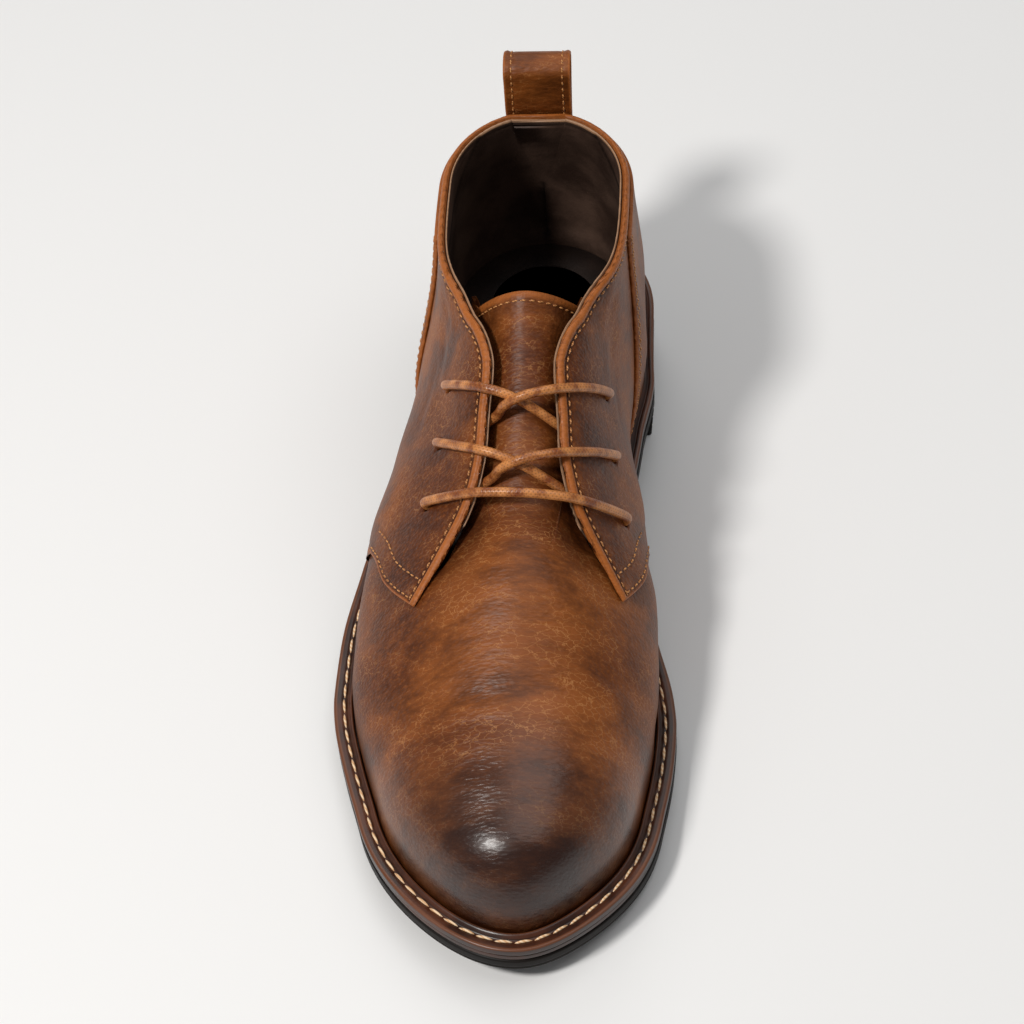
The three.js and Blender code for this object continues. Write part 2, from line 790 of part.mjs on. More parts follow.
// Round hole square to the surface at an eyelet.
function eyeletHole(along, across) {
  const outside = overInstep(at(along), across, 3 * quarterWall);
  const inside = overInstep(at(along), across, -2 * quarterWall);
  const axis = outside.clone().sub(inside);
  const geometry = new THREE.CylinderGeometry(eyeletDiameter / 2, eyeletDiameter / 2, axis.length(), 12);
  const upright = new THREE.Vector3(0, 1, 0);
  const turn = new THREE.Quaternion().setFromUnitVectors(upright, axis.clone().normalize());
  geometry.applyQuaternion(turn);
  const middle = outside.clone().add(inside).multiplyScalar(0.5);
  geometry.translate(middle.x, middle.y, middle.z);
  return solid(geometry);
}

const inside = solid(form(0, farDown));

function upperBody() {
  const vampInside = (place, height) => -sinkAt(place, height);
  const vamp = solid(form(vampOutside, 0)).subtract(solid(form(vampInside, farDown))).intersect(vampRegion());
  const quarters = solid(form(quarterWall, 0))
    .subtract(inside)
    .subtract(throatCutter())
    .subtract(beforeFlaps());
  let body = vamp.add(quarters).subtract(aboveCollar(0));
  for (const { along, across } of eyeletRows) {
    for (const side of [-1, 1]) {
      body = body.subtract(eyeletHole(along, side * across * flapHalfWidth));
    }
  }
  return body;
}

const counterPoints = 11;

// Counter: a layer over the quarters round the heel, above the welt and under the collar's edge.
function counterBody() {
  const base = quarterWall + clearance;
  const shell = solid(form(base + counterThickness, 0)).subtract(solid(form(base, farDown)));
  const weltTop = weltThickness + beadHeight + clearance;
  const line = sideLine(counterRows);
  const lowFront = line.at(-1)[0];
  const lower = Array.from({ length: counterPoints }, (_, i) => {
    const place = lowFront * i / (counterPoints - 1);
    return [place, footbed(place) + weltTop];
  });
  const region = sidePrism([
    [-heelLift, footbed(0) + weltTop],
    ...lower,
    ...line.filter(([place, up]) => up > footbed(place) + weltTop + clearance).reverse(),
    [-heelLift, line[0][1]],
  ]);
  return shell.intersect(region).subtract(aboveCollar(beadHeight));
}

// Tongue: a strip from the vamp's seam up under the facings, sunk to leave room for the lace.
function tongueStrip() {
  const widen = through(tongueRows, 'along', 'widen');
  const [first, last] = [tongueRows[0].along, tongueRows.at(-1).along];
  const steps = 12;
  const rows = Array.from({ length: steps + 1 }, (_, i) => {
    const along = mix(first, last, i / steps);
    return { along, half: widen(along) * tongueHalfWidth };
  });
  const underside = (place, height) => vampOutside(place, height) - tongueThickness;
  return instepStrip(rows, underside, vampOutside, tongueColumns, squareAcross);
}

// Lace: one cord from the top eyelets down through the crossings to the lowest bar.
// toward goes from the lower eyelet to the upper one, across from one side (1) to the other (-1),
// and the heights run from beneath the facings (0) to on top of them (1).
const crossingRows = [
  { toward: 0, across: 1, over: 0.31, under: 0.31 },
  { toward: 0.011, across: 0.978, over: 0.09, under: 0.09 },
  { toward: 0.038, across: 0.924, over: 0, under: 0 },
  { toward: 0.15, across: 0.7, over: -0.01, under: -0.01 },
  { toward: 0.31, across: 0.38, over: 0, under: -0.01 },
  { toward: 0.4, across: 0.2, over: 0.56, under: 0.06 },
  { toward: 0.5, across: 0, over: 0.98, under: 0.3 },
  { toward: 0.6, across: -0.2, over: 1.06, under: 0.72 },
  { toward: 0.69, across: -0.38, over: 1.03, under: 1.04 },
  { toward: 0.85, across: -0.7, over: 1.02, under: 1.02 },
  { toward: 0.962, across: -0.924, over: 1, under: 1 },
  { toward: 0.989, across: -0.978, over: 0.91, under: 0.91 },
  { toward: 1, across: -1, over: 0.69, under: 0.69 },
];
const barRows = [
  { across: -1, height: 0.69 },
  { across: -0.978, height: 0.91 },
  { across: -0.924, height: 1 },
  { across: -0.6, height: 1.06 },
  { across: -0.4, height: 1.05 },
  { across: -0.2, height: 0.93 },
  { across: 0, height: 0.88 },
  { across: 0.2, height: 0.93 },
  { across: 0.4, height: 1.05 },
  { across: 0.6, height: 1.06 },
  { across: 0.924, height: 1 },
  { across: 0.978, height: 0.91 },
  { across: 1, height: 0.69 },
];

function lacePath() {
  const radius = laceDiameter / 2;
  const beneath = -(clearance + radius);
  const above = quarterWall + 2 * clearance + radius;
  const [topRow, middleRow, bottomRow] = eyeletRows;
  // A strand goes straight over the instep from one eyelet to another.
  const goalOf = (eyelet, side) => overInstep(
    at(eyelet.along),
    side * eyelet.across * flapHalfWidth,
    0,
  ).dot(downSlope);
  const point = (from, to, toward, across, height) => {
    const goal = mix(goalOf(from.eyelet, from.side), goalOf(to.eyelet, to.side), toward);
    const start = at(mix(from.eyelet.along, to.eyelet.along, toward));
    const sideways = across * mix(from.eyelet.across, to.eyelet.across, toward) * flapHalfWidth;
    const place = placeAcross(goal, start, sideways, 0);
    return overInstep(place, sideways, mix(beneath, above, height));
  };
  const crossing = (lower, upper, side, level) => crossingRows.map((row) => point(
    { eyelet: lower, side },
    { eyelet: upper, side: -side },
    row.toward,
    side * row.across,
    row[level],
  ));
  const hidden = (eyelet, side) => crossingRows.slice(0, 3).map((row) => point(
    { eyelet, side },
    { eyelet, side: -side },
    0,
    side * row.across,
    row.under,
  ));
  const left = [
    ...crossing(bottomRow, middleRow, -1, 'over'),
    ...crossing(middleRow, topRow, 1, 'under'),
    ...hidden(topRow, -1),
  ];
  const right = [
    ...crossing(bottomRow, middleRow, 1, 'under'),
    ...crossing(middleRow, topRow, -1, 'over'),
    ...hidden(topRow, 1),
  ];
  const bar = barRows.map((row) => point(
    { eyelet: bottomRow, side: -1 },
    { eyelet: bottomRow, side: 1 },
    (row.across + 1) / 2,
    row.across,
    row.height,
  ));
  return new THREE.CatmullRomCurve3([...left.reverse(), ...bar, ...right], false, 'centripetal');
}

// Round cord along a curve; each ring's frame is carried on from the one before.
function laceCord() {
  const curve = lacePath();
  const steps = (curve.points.length - 1) * ringsPerBend;
  let normal = new THREE.Vector3(0, 0, 1);
  const rings = Array.from({ length: steps + 1 }, (_, k) => {
    const centre = curve.getPoint(k / steps);
    const tangent = curve.getTangent(k / steps);
    normal = normal.addScaledVector(tangent, -normal.dot(tangent)).normalize();
    const side = tangent.clone().cross(normal);
    return Array.from({ length: laceSides }, (_, i) => {
      const turn = 2 * Math.PI * i / laceSides;
      return centre.clone()
        .addScaledVector(normal, Math.cos(turn) * laceDiameter / 2)
        .addScaledVector(side, Math.sin(turn) * laceDiameter / 2);
    });
  });
  return ringSolid(rings);
}

// Place on the back of the last at a height where it is a given distance from its middle.
function heelPlace(height, across) {
  const side = across < 0 ? -1 : 1;
  let low = backOf(height);
  let high = low + shaftRounding;
  for (let i = 0; i < 40; i += 1) {
    const middle = (low + high) / 2;
    if (lastHalf(middle, height, side) < Math.abs(across)) low = middle;
    else high = middle;
  }
  return low;
}

// Pull loop: a folded strap behind the collar. out is counted from the counter's surface:
// strap is a share of the thickness, spread a share of the opening at the top.
const loopRows = [
  { from: 'foot', up: 0, strap: 0.5, spread: 0 },
  { from: 'foot', up: 0.5, strap: 0.5, spread: 0 },
  { from: 'foot', up: 0.72, strap: 1, spread: 0.05 },
  { from: 'foot', up: 0.95, strap: 1.5, spread: 0.16 },
  { from: 'collar', up: 0.3, strap: 1.5, spread: 0.52 },
  { from: 'collar', up: 0.62, strap: 1.5, spread: 0.92 },
  { from: 'collar', up: 0.84, strap: 1.4, spread: 1 },
  { from: 'collar', up: 0.97, strap: 1, spread: 0.5 },
  { from: 'collar', up: 0.84, strap: 0.6, spread: 0 },
  { from: 'collar', up: 0.5, strap: 0.5, spread: 0 },
  { from: 'collar', up: 0, strap: 0.5, spread: 0 },
  { from: 'foot', up: 0.78, strap: 0.5, spread: 0 },
];

function pullLoop() {
  const base = quarterWall + counterThickness + 2 * clearance;
  const path = new THREE.SplineCurve(loopRows.map(({ from, up, strap, spread }) => new THREE.Vector2(
    base + strap * (loopThickness + clearance) + spread * loopSpread,
    from === 'foot' ? mix(loopFoot, collarHeight, up) : mix(collarHeight, loopTop - loopThickness / 2, up),
  )));
  const steps = 24;
  const columns = 4;
  const collarUp = collarHeight - footbed(0);
  const rings = Array.from({ length: steps + 1 }, (_, k) => {
    const middle = path.getPoint(k / steps);
    const run = path.getTangent(k / steps);
    const normal = new THREE.Vector2(run.y, -run.x);
    const row = (layer) => Array.from({ length: columns + 1 }, (_, i) => {
      const out = middle.x + layer * normal.x * loopThickness / 2;
      const up = middle.y + layer * normal.y * loopThickness / 2;
      const height = Math.min(up - footbed(0), collarUp);
      const across = loopWidth * (i / columns - 0.5);
      const place = heelPlace(height, across);
      const sideways = (heelPlace(height, across + 1) - heelPlace(height, across - 1)) / 2;
      const upward = heelPlace(height + 1, across) - heelPlace(height, across);
      const steep = Math.hypot(1, sideways, upward);
      return new THREE.Vector3(centreX + across, soleLength / 2 - place + out * steep, up);
    });
    return [...row(1), ...row(-1).reverse()];
  });
  return ringSolid(rings);
}

// Pieces
const browns = {
  leather: 0x7a4526,
  edge: 0x4a2a1a,
  lace: 0x8f5a36,
  rubber: 0x2b1b14,
  lining: 0x2a201c,
};

function piece(name, geometry, colour, roughness) {
  const finished = geometry.index ? geometry.toNonIndexed() : geometry;
  finished.computeVertexNormals();
  const material = new THREE.MeshStandardMaterial({ color: colour, roughness, metalness: 0 });
  material.name = name;
  const mesh = new THREE.Mesh(finished, material);
  mesh.name = name;
  return mesh;
}

const boot = new THREE.Group();
boot.name = 'ankle_boot';
boot.add(
  piece('outsole', outsole, browns.rubber, 0.7),
  piece('heel', heelBlock(), browns.rubber, 0.7),
  piece('midsole', midsole, browns.edge, 0.5),
  piece('welt', weltBand(), browns.edge, 0.5),
  piece('insole', insole, browns.lining, 0.8),
  piece('upper', geometryOf(upperBody()), browns.leather, 0.45),
  piece('counter', geometryOf(counterBody()), browns.leather, 0.45),
  piece('tongue', tongueStrip(), browns.leather, 0.5),
  piece('pull_loop', pullLoop(), browns.leather, 0.45),
  piece('lace', laceCord(), browns.lace, 0.55),
);

export default boot;
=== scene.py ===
import math
from functools import partial

import bpy
import numpy as np
from mathutils import Matrix, Vector


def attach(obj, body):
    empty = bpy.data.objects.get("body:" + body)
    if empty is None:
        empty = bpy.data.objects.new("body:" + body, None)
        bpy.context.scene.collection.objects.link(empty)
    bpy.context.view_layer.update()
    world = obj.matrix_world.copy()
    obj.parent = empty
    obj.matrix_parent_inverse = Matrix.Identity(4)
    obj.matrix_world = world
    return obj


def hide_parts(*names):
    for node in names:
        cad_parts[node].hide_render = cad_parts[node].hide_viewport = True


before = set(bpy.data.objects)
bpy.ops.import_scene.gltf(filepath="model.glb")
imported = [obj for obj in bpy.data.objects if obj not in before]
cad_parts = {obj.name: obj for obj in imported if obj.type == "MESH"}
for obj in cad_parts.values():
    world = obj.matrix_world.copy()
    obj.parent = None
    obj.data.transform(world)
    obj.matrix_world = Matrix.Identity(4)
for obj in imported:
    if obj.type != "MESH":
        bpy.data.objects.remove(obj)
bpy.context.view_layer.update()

# A lace-up ankle boot, the right one. All shapes below are worked out in millimetres;
# place = distance from the back of the sole, height = above the footbed, turn = angle round the last
# from the front (0) over the outer side to the back (pi) and on along the inner side.

last = {
    "soleLength": 300.0, "ballWidth": 111.0, "heelWidth": 78.6, "heelRounding": 42.0, "toeRounding": 50.0,
    "heelPower": 2.15, "shaftPower": 2.1, "heelLift": 18.0, "toeSpring": 8.0, "outsoleThickness": 5.0,
    "midsoleThickness": 2.4, "clearance": 0.3, "weltWidthToe": 6.4, "weltWidthHeel": 4.6,
    "toeBoxHeight": 36.0, "ankleHeight": 88.0, "heelCurve": 13.9, "shaftLateral": 30.4, "shaftMedial": 31.4,
    "shaftRounding": 36.0, "vampWall": 1.7, "quarterWall": 2.9, "counterThickness": 1.2,
    "collarHeight": 97.5, "facingHeight": 105.0, "throatHalf": 9.3, "flapHalf": 33.0,
    "tongueHalf": 20.0, "laceDiameter": 3.1,
}

soleTable = {
    "along": [0, .067, .167, .25, .333, .417, .5, .583, .667, .707, .767, .833, .917, 1],
    "lateral": [.464, .491, .5, .5, .475, .468, .514, .56, .57, .559, .518, .462, .4, .33],
    "medial": [.471, .494, .5, .496, .415, .329, .321, .368, .423, .433, .423, .395, .358, .285],
    "heel": [1, 1, 1, .95, .75, .3, 0, 0, 0, 0, 0, 0, 0, 0],
}
bottomTable = {
    "along": [0, .25, .333, .467, .57, .635, .735, .833, .933, 1],
    "lift": [1, 1, .845, .42, .11, 0, 0, 0, 0, 0],
    "spring": [0, 0, 0, 0, 0, 0, 0, .2, .61, 1],
}
ridgeTable = {
    "along": [1, .9995, .9955, .9835, .962, .919, .875, .823, .755, .686, .617, .549, .497, .446, .412,
              .384, .367, .353, .343],
    "wall": [0, .14, .4, .65, .86, 1, 1, 1, 1, 1, 1, 1, 1, 1, 1, 1, 1, 1, 1],
    "rise": [0, 0, 0, 0, 0, .005, .091, .174, .308, .461, .6, .723, .816, .913, 1, 1.116, 1.28, 1.523, 1.785],
}
backTable = {
    "up": [0, .055, .15, .27, .43, .59, .82, 1.02, 1.6],
    "forward": [0, 0, -.09, -.09, .07, .345, .763, 1, 1.36],
}
swellTable = {
    "along": [0, .2, .33, .42, .5, .58, .66, .75, .9, 1],
    "lateral": [.012, .02, .056, .07, .05, .024, .012, .01, .014, .01],
    "medial": [.012, .016, .028, .062, .096, .1, .052, .018, .014, .01],
}
sideTable = {
    "up": [0, .055, .18, .34, .5, .7, .88, 1.6],
    "swell": [0, 0, .66, 1, .8, .25, 0, 0],
    "shaft": [0, 0, .02, .2, .48, .84, 1, 1],
}
squareTable = {"along": [.3, .37, .47, .57, .67, .8, 1], "power": [1.6, 1.85, 2.1, 2.25, 2.3, 2.35, 2.45]}
collarTable = {
    "along": [-.05, .06, .15, .22, .27, .31, .35, .38, .42],
    "up": [0, 0, .03, .2, .44, .7, 1, 1.4, 2],
}
facingTable = {
    "along": [.325, .345, .363, .38, .4, .42, .445, .487, .54, .58, .62, .655],
    "beyond": [.6, .495, .385, .28, .155, .06, 0, .042, .105, .274, .63, .954],
}
flapTable = {"along": [.49, .497, .515, .55, .605, .648], "up": [-.12, .05, .19, .32, .415, .5]}
counterTable = {"along": [.235, .26, .295, .33, .36], "up": [1.1, .76, .45, .2, -.06]}
sinkTable = {"along": [.57, .59, .62, .65, .67], "sunk": [1, .86, .42, .07, 0]}
tongueTable = {
    "along": [.382, .41, .44, .48, .53, .56, .58, .6],
    "widen": [1.12, 1.1, 1.06, .97, .97, 1.02, 1.1, 1.18],
}
throatEdge = {"behind": .42, "ahead": .64, "changeStart": .525, "changeLength": .05, "fade": .2}
eyelets = [(.424, .69), (.484, .77), (.545, .885)]  # share of the length, share of the flap's half width

length = last["soleLength"]


def mix(a, b, share):
    # a + (b - a) x share.
    return a + (b - a) * share


def smooth(low, high, value):
    # Rises from 0 at low to 1 at high as 3t^2 - 2t^3.
    t = np.clip((value - low) / (high - low), 0, 1)
    return t * t * (3 - 2 * t)


def bell(value, middle, width):
    # exp(-((value - middle) / width)^2)
    return np.exp(-((value - middle) / width) ** 2)


def rolled(distance, radius):
    # Quarter circle: 0 on the edge, 1 from the radius inwards.
    return np.sqrt(np.clip(1 - np.clip(1 - distance / radius, 0, 1) ** 2, 0, 1))


def eased(count):
    # Steps from 0 to 1 that crowd towards both ends: (1 - cos(pi t)) / 2.
    return (1 - np.cos(np.pi * np.linspace(0, 1, count))) / 2


def unit(vectors):
    # Each vector divided by its own length.
    return vectors / np.maximum(np.linalg.norm(vectors, axis=-1, keepdims=True), 1e-9)


def runAlong(points):
    # Distance travelled along a line of points.
    return np.concatenate([[0], np.cumsum(np.linalg.norm(np.diff(points, axis=0), axis=1))])


def halved(low, high, stillLow):
    # Bounds of the value at which the test stops being true, halved 36 times.
    for _ in range(36):
        middle = (low + high) / 2
        below = stillLow(middle)
        low, high = np.where(below, middle, low), np.where(below, high, middle)
    return low, high


def through(table, source, target):
    # Cubic pieces through two columns of a table; slopes are limited so that none overshoots its rows.
    x, y = (np.asarray(table[k], float) for k in (source, target))
    if x[0] > x[-1]:
        x, y = x[::-1], y[::-1]
    gap, rise = np.diff(x), np.diff(y) / np.diff(x)
    mean = (rise[:-1] * gap[1:] + rise[1:] * gap[:-1]) / (gap[1:] + gap[:-1])
    limit = 3 * np.minimum(abs(rise[:-1]), abs(rise[1:]))
    inner = np.where(rise[:-1] * rise[1:] <= 0, 0, np.sign(mean) * np.minimum(abs(mean), limit))
    slope = np.concatenate([rise[:1], inner, rise[-1:]])

    def curve(value):
        value = np.asarray(value, float)
        i = np.clip(np.searchsorted(x, value) - 1, 0, len(x) - 2)
        t = np.clip((value - x[i]) / gap[i], 0, 1)
        inside = ((1 + 2 * t) * (1 - t) ** 2 * y[i] + t * (1 - t) ** 2 * gap[i] * slope[i]
                  + t * t * (3 - 2 * t) * y[i + 1] + t * t * (t - 1) * gap[i] * slope[i + 1])
        below = y[0] + (value - x[0]) * slope[0]
        above = y[-1] + (value - x[-1]) * slope[-1]
        return np.where(value <= x[0], below, np.where(value >= x[-1], above, inside))
    return curve


soleSides = {-1: through(soleTable, "along", "lateral"), 1: through(soleTable, "along", "medial")}
heelPart = through(soleTable, "along", "heel")
liftAt, springAt = (through(bottomTable, "along", k) for k in ("lift", "spring"))


def soleHalf(place, side):
    # Half width = share of the ball's or heel's width, times a rounded end at the heel and at the toe.
    share = place / length
    width = mix(last["ballWidth"], last["heelWidth"], np.clip(heelPart(share), 0, 1))
    half = width * soleSides[side](share)
    heel = np.clip(1 - place / last["heelRounding"], 0, 1)
    toe = np.clip(1 - (length - place) / last["toeRounding"], 0, 1)
    power = last["heelPower"]
    return half * (1 - heel ** power) ** (1 / power) * np.sqrt(1 - toe ** 2)


def weltWidth(place):
    # From the heel's width to the toe's over the middle of the sole.
    forward = np.clip((place / length - .35) / .3, 0, 1)
    return mix(last["weltWidthHeel"], last["weltWidthToe"], forward)


class Outline:
    # The sole's outline moved inwards along its own normal, by a distance or a function of the place.
    def __init__(self, inset):
        fine = 480
        i = np.arange(-2, fine + 3)
        place = length * (1 + np.cos(np.pi * (1 - i / fine))) / 2
        flip = np.where((i < 0) | (i > fine), -1, 1)
        self.sides = {}
        for side in (-1, 1):
            half = flip * np.where(flip * side < 0, soleHalf(place, -1), soleHalf(place, 1))
            dx, dy = place[2:] - place[:-2], half[2:] - half[:-2]
            run = np.hypot(dx, dy)
            depth = inset(place[1:-1]) if callable(inset) else inset + 0 * place[1:-1]
            p, h = place[1:-1] + depth * dy / run, half[1:-1] - depth * dx / run
            ahead = np.maximum.accumulate(np.where(h > 0, p, -1e9))
            keep = (h > 0) & (p > np.concatenate([[-1e9], ahead[:-1]]))
            self.sides[side] = (p[keep], h[keep])
        self.start = min(s[0][0] for s in self.sides.values())
        self.end = max(s[0][-1] for s in self.sides.values())
        for side, (p, h) in self.sides.items():
            self.sides[side] = (np.concatenate([[self.start - .01], p, [self.end + .01]]),
                                np.concatenate([[0], h, [0]]))

    def half(self, place, side):
        left, right = (np.interp(place, *self.sides[s]) for s in (-1, 1))
        return np.where(np.asarray(side) < 0, left, right)


soleLine = Outline(0)
centreX = float(soleLine.half(.66 * length, -1) - soleLine.half(.71 * length, 1)) / 2


def bottomOf(place):
    # Underside of the outsole: the heel's lift behind + the toe's spring in front.
    share = place / length
    lift = last["heelLift"] * np.clip(liftAt(share), 0, 1)
    return lift + last["toeSpring"] * np.maximum(springAt(share), 0)


def midsoleFloor(place):
    # Underside + outsole + clearance.
    return bottomOf(place) + last["outsoleThickness"] + last["clearance"]


def footbed(place):
    # Midsole's floor + midsole + clearance.
    return midsoleFloor(place) + last["midsoleThickness"] + last["clearance"]


def wallOf(place):
    # Thickness round the foot, from the quarters' to the vamp's.
    return mix(last["quarterWall"], last["vampWall"], np.clip((place - .5 * length) / (.15 * length), 0, 1))


lastLine = Outline(lambda p: weltWidth(p) + last["clearance"] + wallOf(p))
backAt = through(backTable, "up", "forward")
swellSides = {-1: through(swellTable, "along", "lateral"), 1: through(swellTable, "along", "medial")}
swellUp, shaftUp = (through(sideTable, "up", k) for k in ("swell", "shaft"))
squareness = through(squareTable, "along", "power")
ankle, toeBox = last["ankleHeight"], last["toeBoxHeight"]


def backOf(height):
    # Back of the last: its start + the heel curve's depth x the table's share at the height.
    return lastLine.start + last["heelCurve"] * backAt(height / ankle)


# The top line of the last as a curve by its own length, from the toe up to the shin
ridgePlace = np.array(ridgeTable["along"]) * lastLine.end
ridgeHeight = toeBox * np.array(ridgeTable["wall"]) + (ankle - toeBox) * np.array(ridgeTable["rise"])
ridgeRun = np.concatenate([[0], np.cumsum(np.hypot(np.diff(ridgePlace), np.diff(ridgeHeight)))])
fineRun = np.linspace(0, ridgeRun[-1], 901)
finePlace = through({"r": ridgeRun, "p": ridgePlace}, "r", "p")(fineRun)
fineHeight = through({"r": ridgeRun, "h": ridgeHeight}, "r", "h")(fineRun)
shinSlope = (fineHeight[-1] - fineHeight[-2]) / (finePlace[-2] - finePlace[-1])


def frontOf(height):
    # Place of the last's top line at a height; the two after it give its height by run and back.
    return np.interp(height, fineHeight, finePlace)


def heightOf(run):
    return np.interp(run, fineRun, fineHeight)


def runOf(height):
    return np.interp(height, fineHeight, fineRun)


def ridgeOf(place):
    # Height of the top line over a place, drawn on straight above its end.
    beyond = fineHeight[-1] + (finePlace[-1] - place) * shinSlope
    return np.where(place < finePlace[-1], beyond, np.interp(place, finePlace[::-1], fineHeight[::-1]))


def lastHalf(place, height, side):
    # (footbed's half width + swell, turning into the shaft's) x root(1 - (height / ridge)^power)
    share, up = place / length, height / ankle
    shift = (backOf(height) - backOf(0)) * np.clip(1 - place / (.5 * length), 0, 1) ** 1.5
    moved = place - shift
    swell = np.where(np.asarray(side) < 0, swellSides[-1](share), swellSides[1](share))
    foot = lastLine.half(moved, side)
    foot = foot + last["ballWidth"] * swell * swellUp(up) * np.minimum(1, .05 + foot / 20)
    behind = np.clip(1 - (moved - lastLine.start) / last["shaftRounding"], 0, 1)
    power = last["shaftPower"]
    shaft = np.where(np.asarray(side) < 0, last["shaftLateral"], last["shaftMedial"])
    half = mix(foot, shaft * (1 - behind ** power) ** (1 / power), np.clip(shaftUp(up), 0, 1))
    part = np.clip(height / np.maximum(ridgeOf(place), 1e-6), 0, 1)
    return half * np.sqrt(1 - part ** squareness(share))


def placeOf(height, turn):
    # back + (front - back) x (1 + cos(turn)) / 2.
    back = backOf(height)
    return back + (frontOf(height) - back) * (1 + np.cos(turn)) / 2


def lastPoint(height, turn):
    # Across by the half width, along by the place, up by the footbed + the height.
    side = np.where(np.sin(turn) >= 0, -1, 1)
    place = placeOf(height, turn)
    across = side * lastHalf(place, height, side)
    return np.stack([centreX + across, length / 2 - place, footbed(place) + height], -1)


def lastNormal(height, turn):
    # Outward: the way up the last crossed with the way round it.
    low = np.where(height < .2, 0, height - .2)
    upward = lastPoint(height + .2, turn) - lastPoint(low, turn)
    around = lastPoint(height, turn + .02) - lastPoint(height, turn - .02)
    return unit(np.cross(upward, around))


def lastOffset(height, turn, offset):
    # The last's point + its normal x the offset.
    height, turn, offset = np.broadcast_arrays(*(np.asarray(v, float) for v in (height, turn, offset)))
    return lastPoint(height, turn) + lastNormal(height, turn) * offset[..., None]


def turnOf(place, height, side):
    # arccos(2 x (place - back) / (front - back) - 1), counted on round the heel on the inner side.
    back = backOf(height)
    cosine = np.clip(2 * (place - back) / (frontOf(height) - back) - 1, -1, 1)
    turn = np.arccos(cosine)
    return np.where(np.asarray(side) < 0, turn, 2 * np.pi - turn)


def climb(place, across):
    # Height where the last has a given half width over a place.
    place, across = np.broadcast_arrays(np.asarray(place, float), np.asarray(across, float))
    side = np.where(across < 0, -1, 1)
    ridge = ridgeOf(place)
    return halved(ridge * .3, ridge, lambda h: lastHalf(place, h, side) > abs(across))[1]


def overInstep(place, across, lift):
    # Point over a place at a distance across, lifted off the last along its normal.
    height = climb(place, across)
    side = np.where(np.asarray(across) < 0, -1, 1)
    return lastOffset(height, turnOf(place, height, side), lift)


seat = -(last["laceDiameter"] + 5 * last["clearance"])
sunkAt = through(sinkTable, "along", "sunk")


def sinkAt(place, height):
    # How far the throat's floor lies under the vamp's surface, fading towards its sides.
    forward = np.clip((place / length - throatEdge["changeStart"]) / throatEdge["changeLength"], 0, 1)
    edge = mix(throatEdge["behind"], throatEdge["ahead"], forward)
    rise = smooth(edge, edge + throatEdge["fade"], height / np.maximum(ridgeOf(place), 1))
    return (last["vampWall"] - seat) * np.clip(sunkAt(place / length), 0, 1) * rise


# Mesh helpers: each closed body is made from whole arrays of points
def addObject(name, data):
    # A mesh, light or camera put into the scene.
    obj = bpy.data.objects.new(name, data)
    bpy.context.scene.collection.objects.link(obj)
    return obj


def meshOf(name, points, faces):
    # Points in millimetres become a mesh in metres, and a quad with a doubled corner a triangle.
    mesh = bpy.data.meshes.new(name)
    corners = [list(dict.fromkeys(face)) for face in np.asarray(faces).tolist()]
    mesh.from_pydata((np.asarray(points) / 1000).tolist(), [], corners)
    return mesh


def makeMesh(name, points, faces, slot, masks=None):
    # A piece that rides on the boot; its masks give the finish one value for all points or one for each.
    mesh = meshOf(name, points, faces)
    mesh.validate()
    for key, values in (masks or {}).items():
        mask = mesh.attributes.new(key, "FLOAT", "POINT")
        mask.data.foreach_set("value", (np.zeros(len(points)) + np.ravel(values)).astype(np.float32))
    mesh.polygons.foreach_set("use_smooth", [True] * len(mesh.polygons))
    obj = addObject(name, mesh)
    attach(obj, "root")
    return obj


def quads(rows, columns, closedRows=False, closedColumns=False, start=0):
    # Faces between neighbouring rows and columns of a grid.
    i = np.arange(rows if closedRows else rows - 1)
    j = np.arange(columns if closedColumns else columns - 1)
    i, j = (a.ravel() for a in np.meshgrid(i, j, indexing="ij"))
    a, b = i * columns + j, i * columns + (j + 1) % columns
    c, d = ((i + 1) % rows) * columns + (j + 1) % columns, ((i + 1) % rows) * columns + j
    return np.stack([a, b, c, d], -1) + start


def outward(points, faces):
    # Turns every face round when the body's volume comes out negative.
    p = np.asarray(points)
    volume = 0.0
    for k in range(1, faces.shape[1] - 1):
        volume += np.einsum("ij,ij->i", p[faces[:, 0]], np.cross(p[faces[:, k]], p[faces[:, k + 1]])).sum()
    return faces if volume > 0 else faces[:, ::-1]


def shell(outer, inner):
    # Closed leather from two grids of the same size: outside, inside and the strips that join their edges.
    rows, columns = outer.shape[:2]
    count = rows * columns
    points = np.concatenate([outer.reshape(-1, 3), inner.reshape(-1, 3)])
    front = quads(rows, columns)
    back = quads(rows, columns, start=count)[:, ::-1]
    index = np.arange(count).reshape(rows, columns)
    rim = np.concatenate([index[0], index[1:, -1], index[-1, -2::-1], index[-2:0:-1, 0]])
    after = np.roll(rim, -1)
    strips = np.stack([after, rim, rim + count, after + count], -1)
    return points, outward(points, np.concatenate([front, back, strips]))


def band(rings):
    # Closed band: rings along a path, the path closed and each ring closed.
    rings = np.asarray(rings)
    points = rings.reshape(-1, 3)
    return points, outward(points, quads(rings.shape[0], rings.shape[1], True, True))


def capped(rings):
    # Solid from closed rings, its two ends closed by fans about their middles.
    rings = np.asarray(rings)
    rows, columns = rings.shape[:2]
    points = np.concatenate([rings.reshape(-1, 3), rings[[0, -1]].mean(1)])
    j, final, base = np.arange(columns), rows * columns, (rows - 1) * columns
    after = (j + 1) % columns
    low = np.stack([after, j, 0 * j + final], -1)
    high = np.stack([j + base, after + base, 0 * j + final + 1], -1)
    fans = np.concatenate([low, high])[:, [0, 1, 2, 2]]
    return points, outward(points, np.concatenate([quads(rows, columns, False, True), fans]))


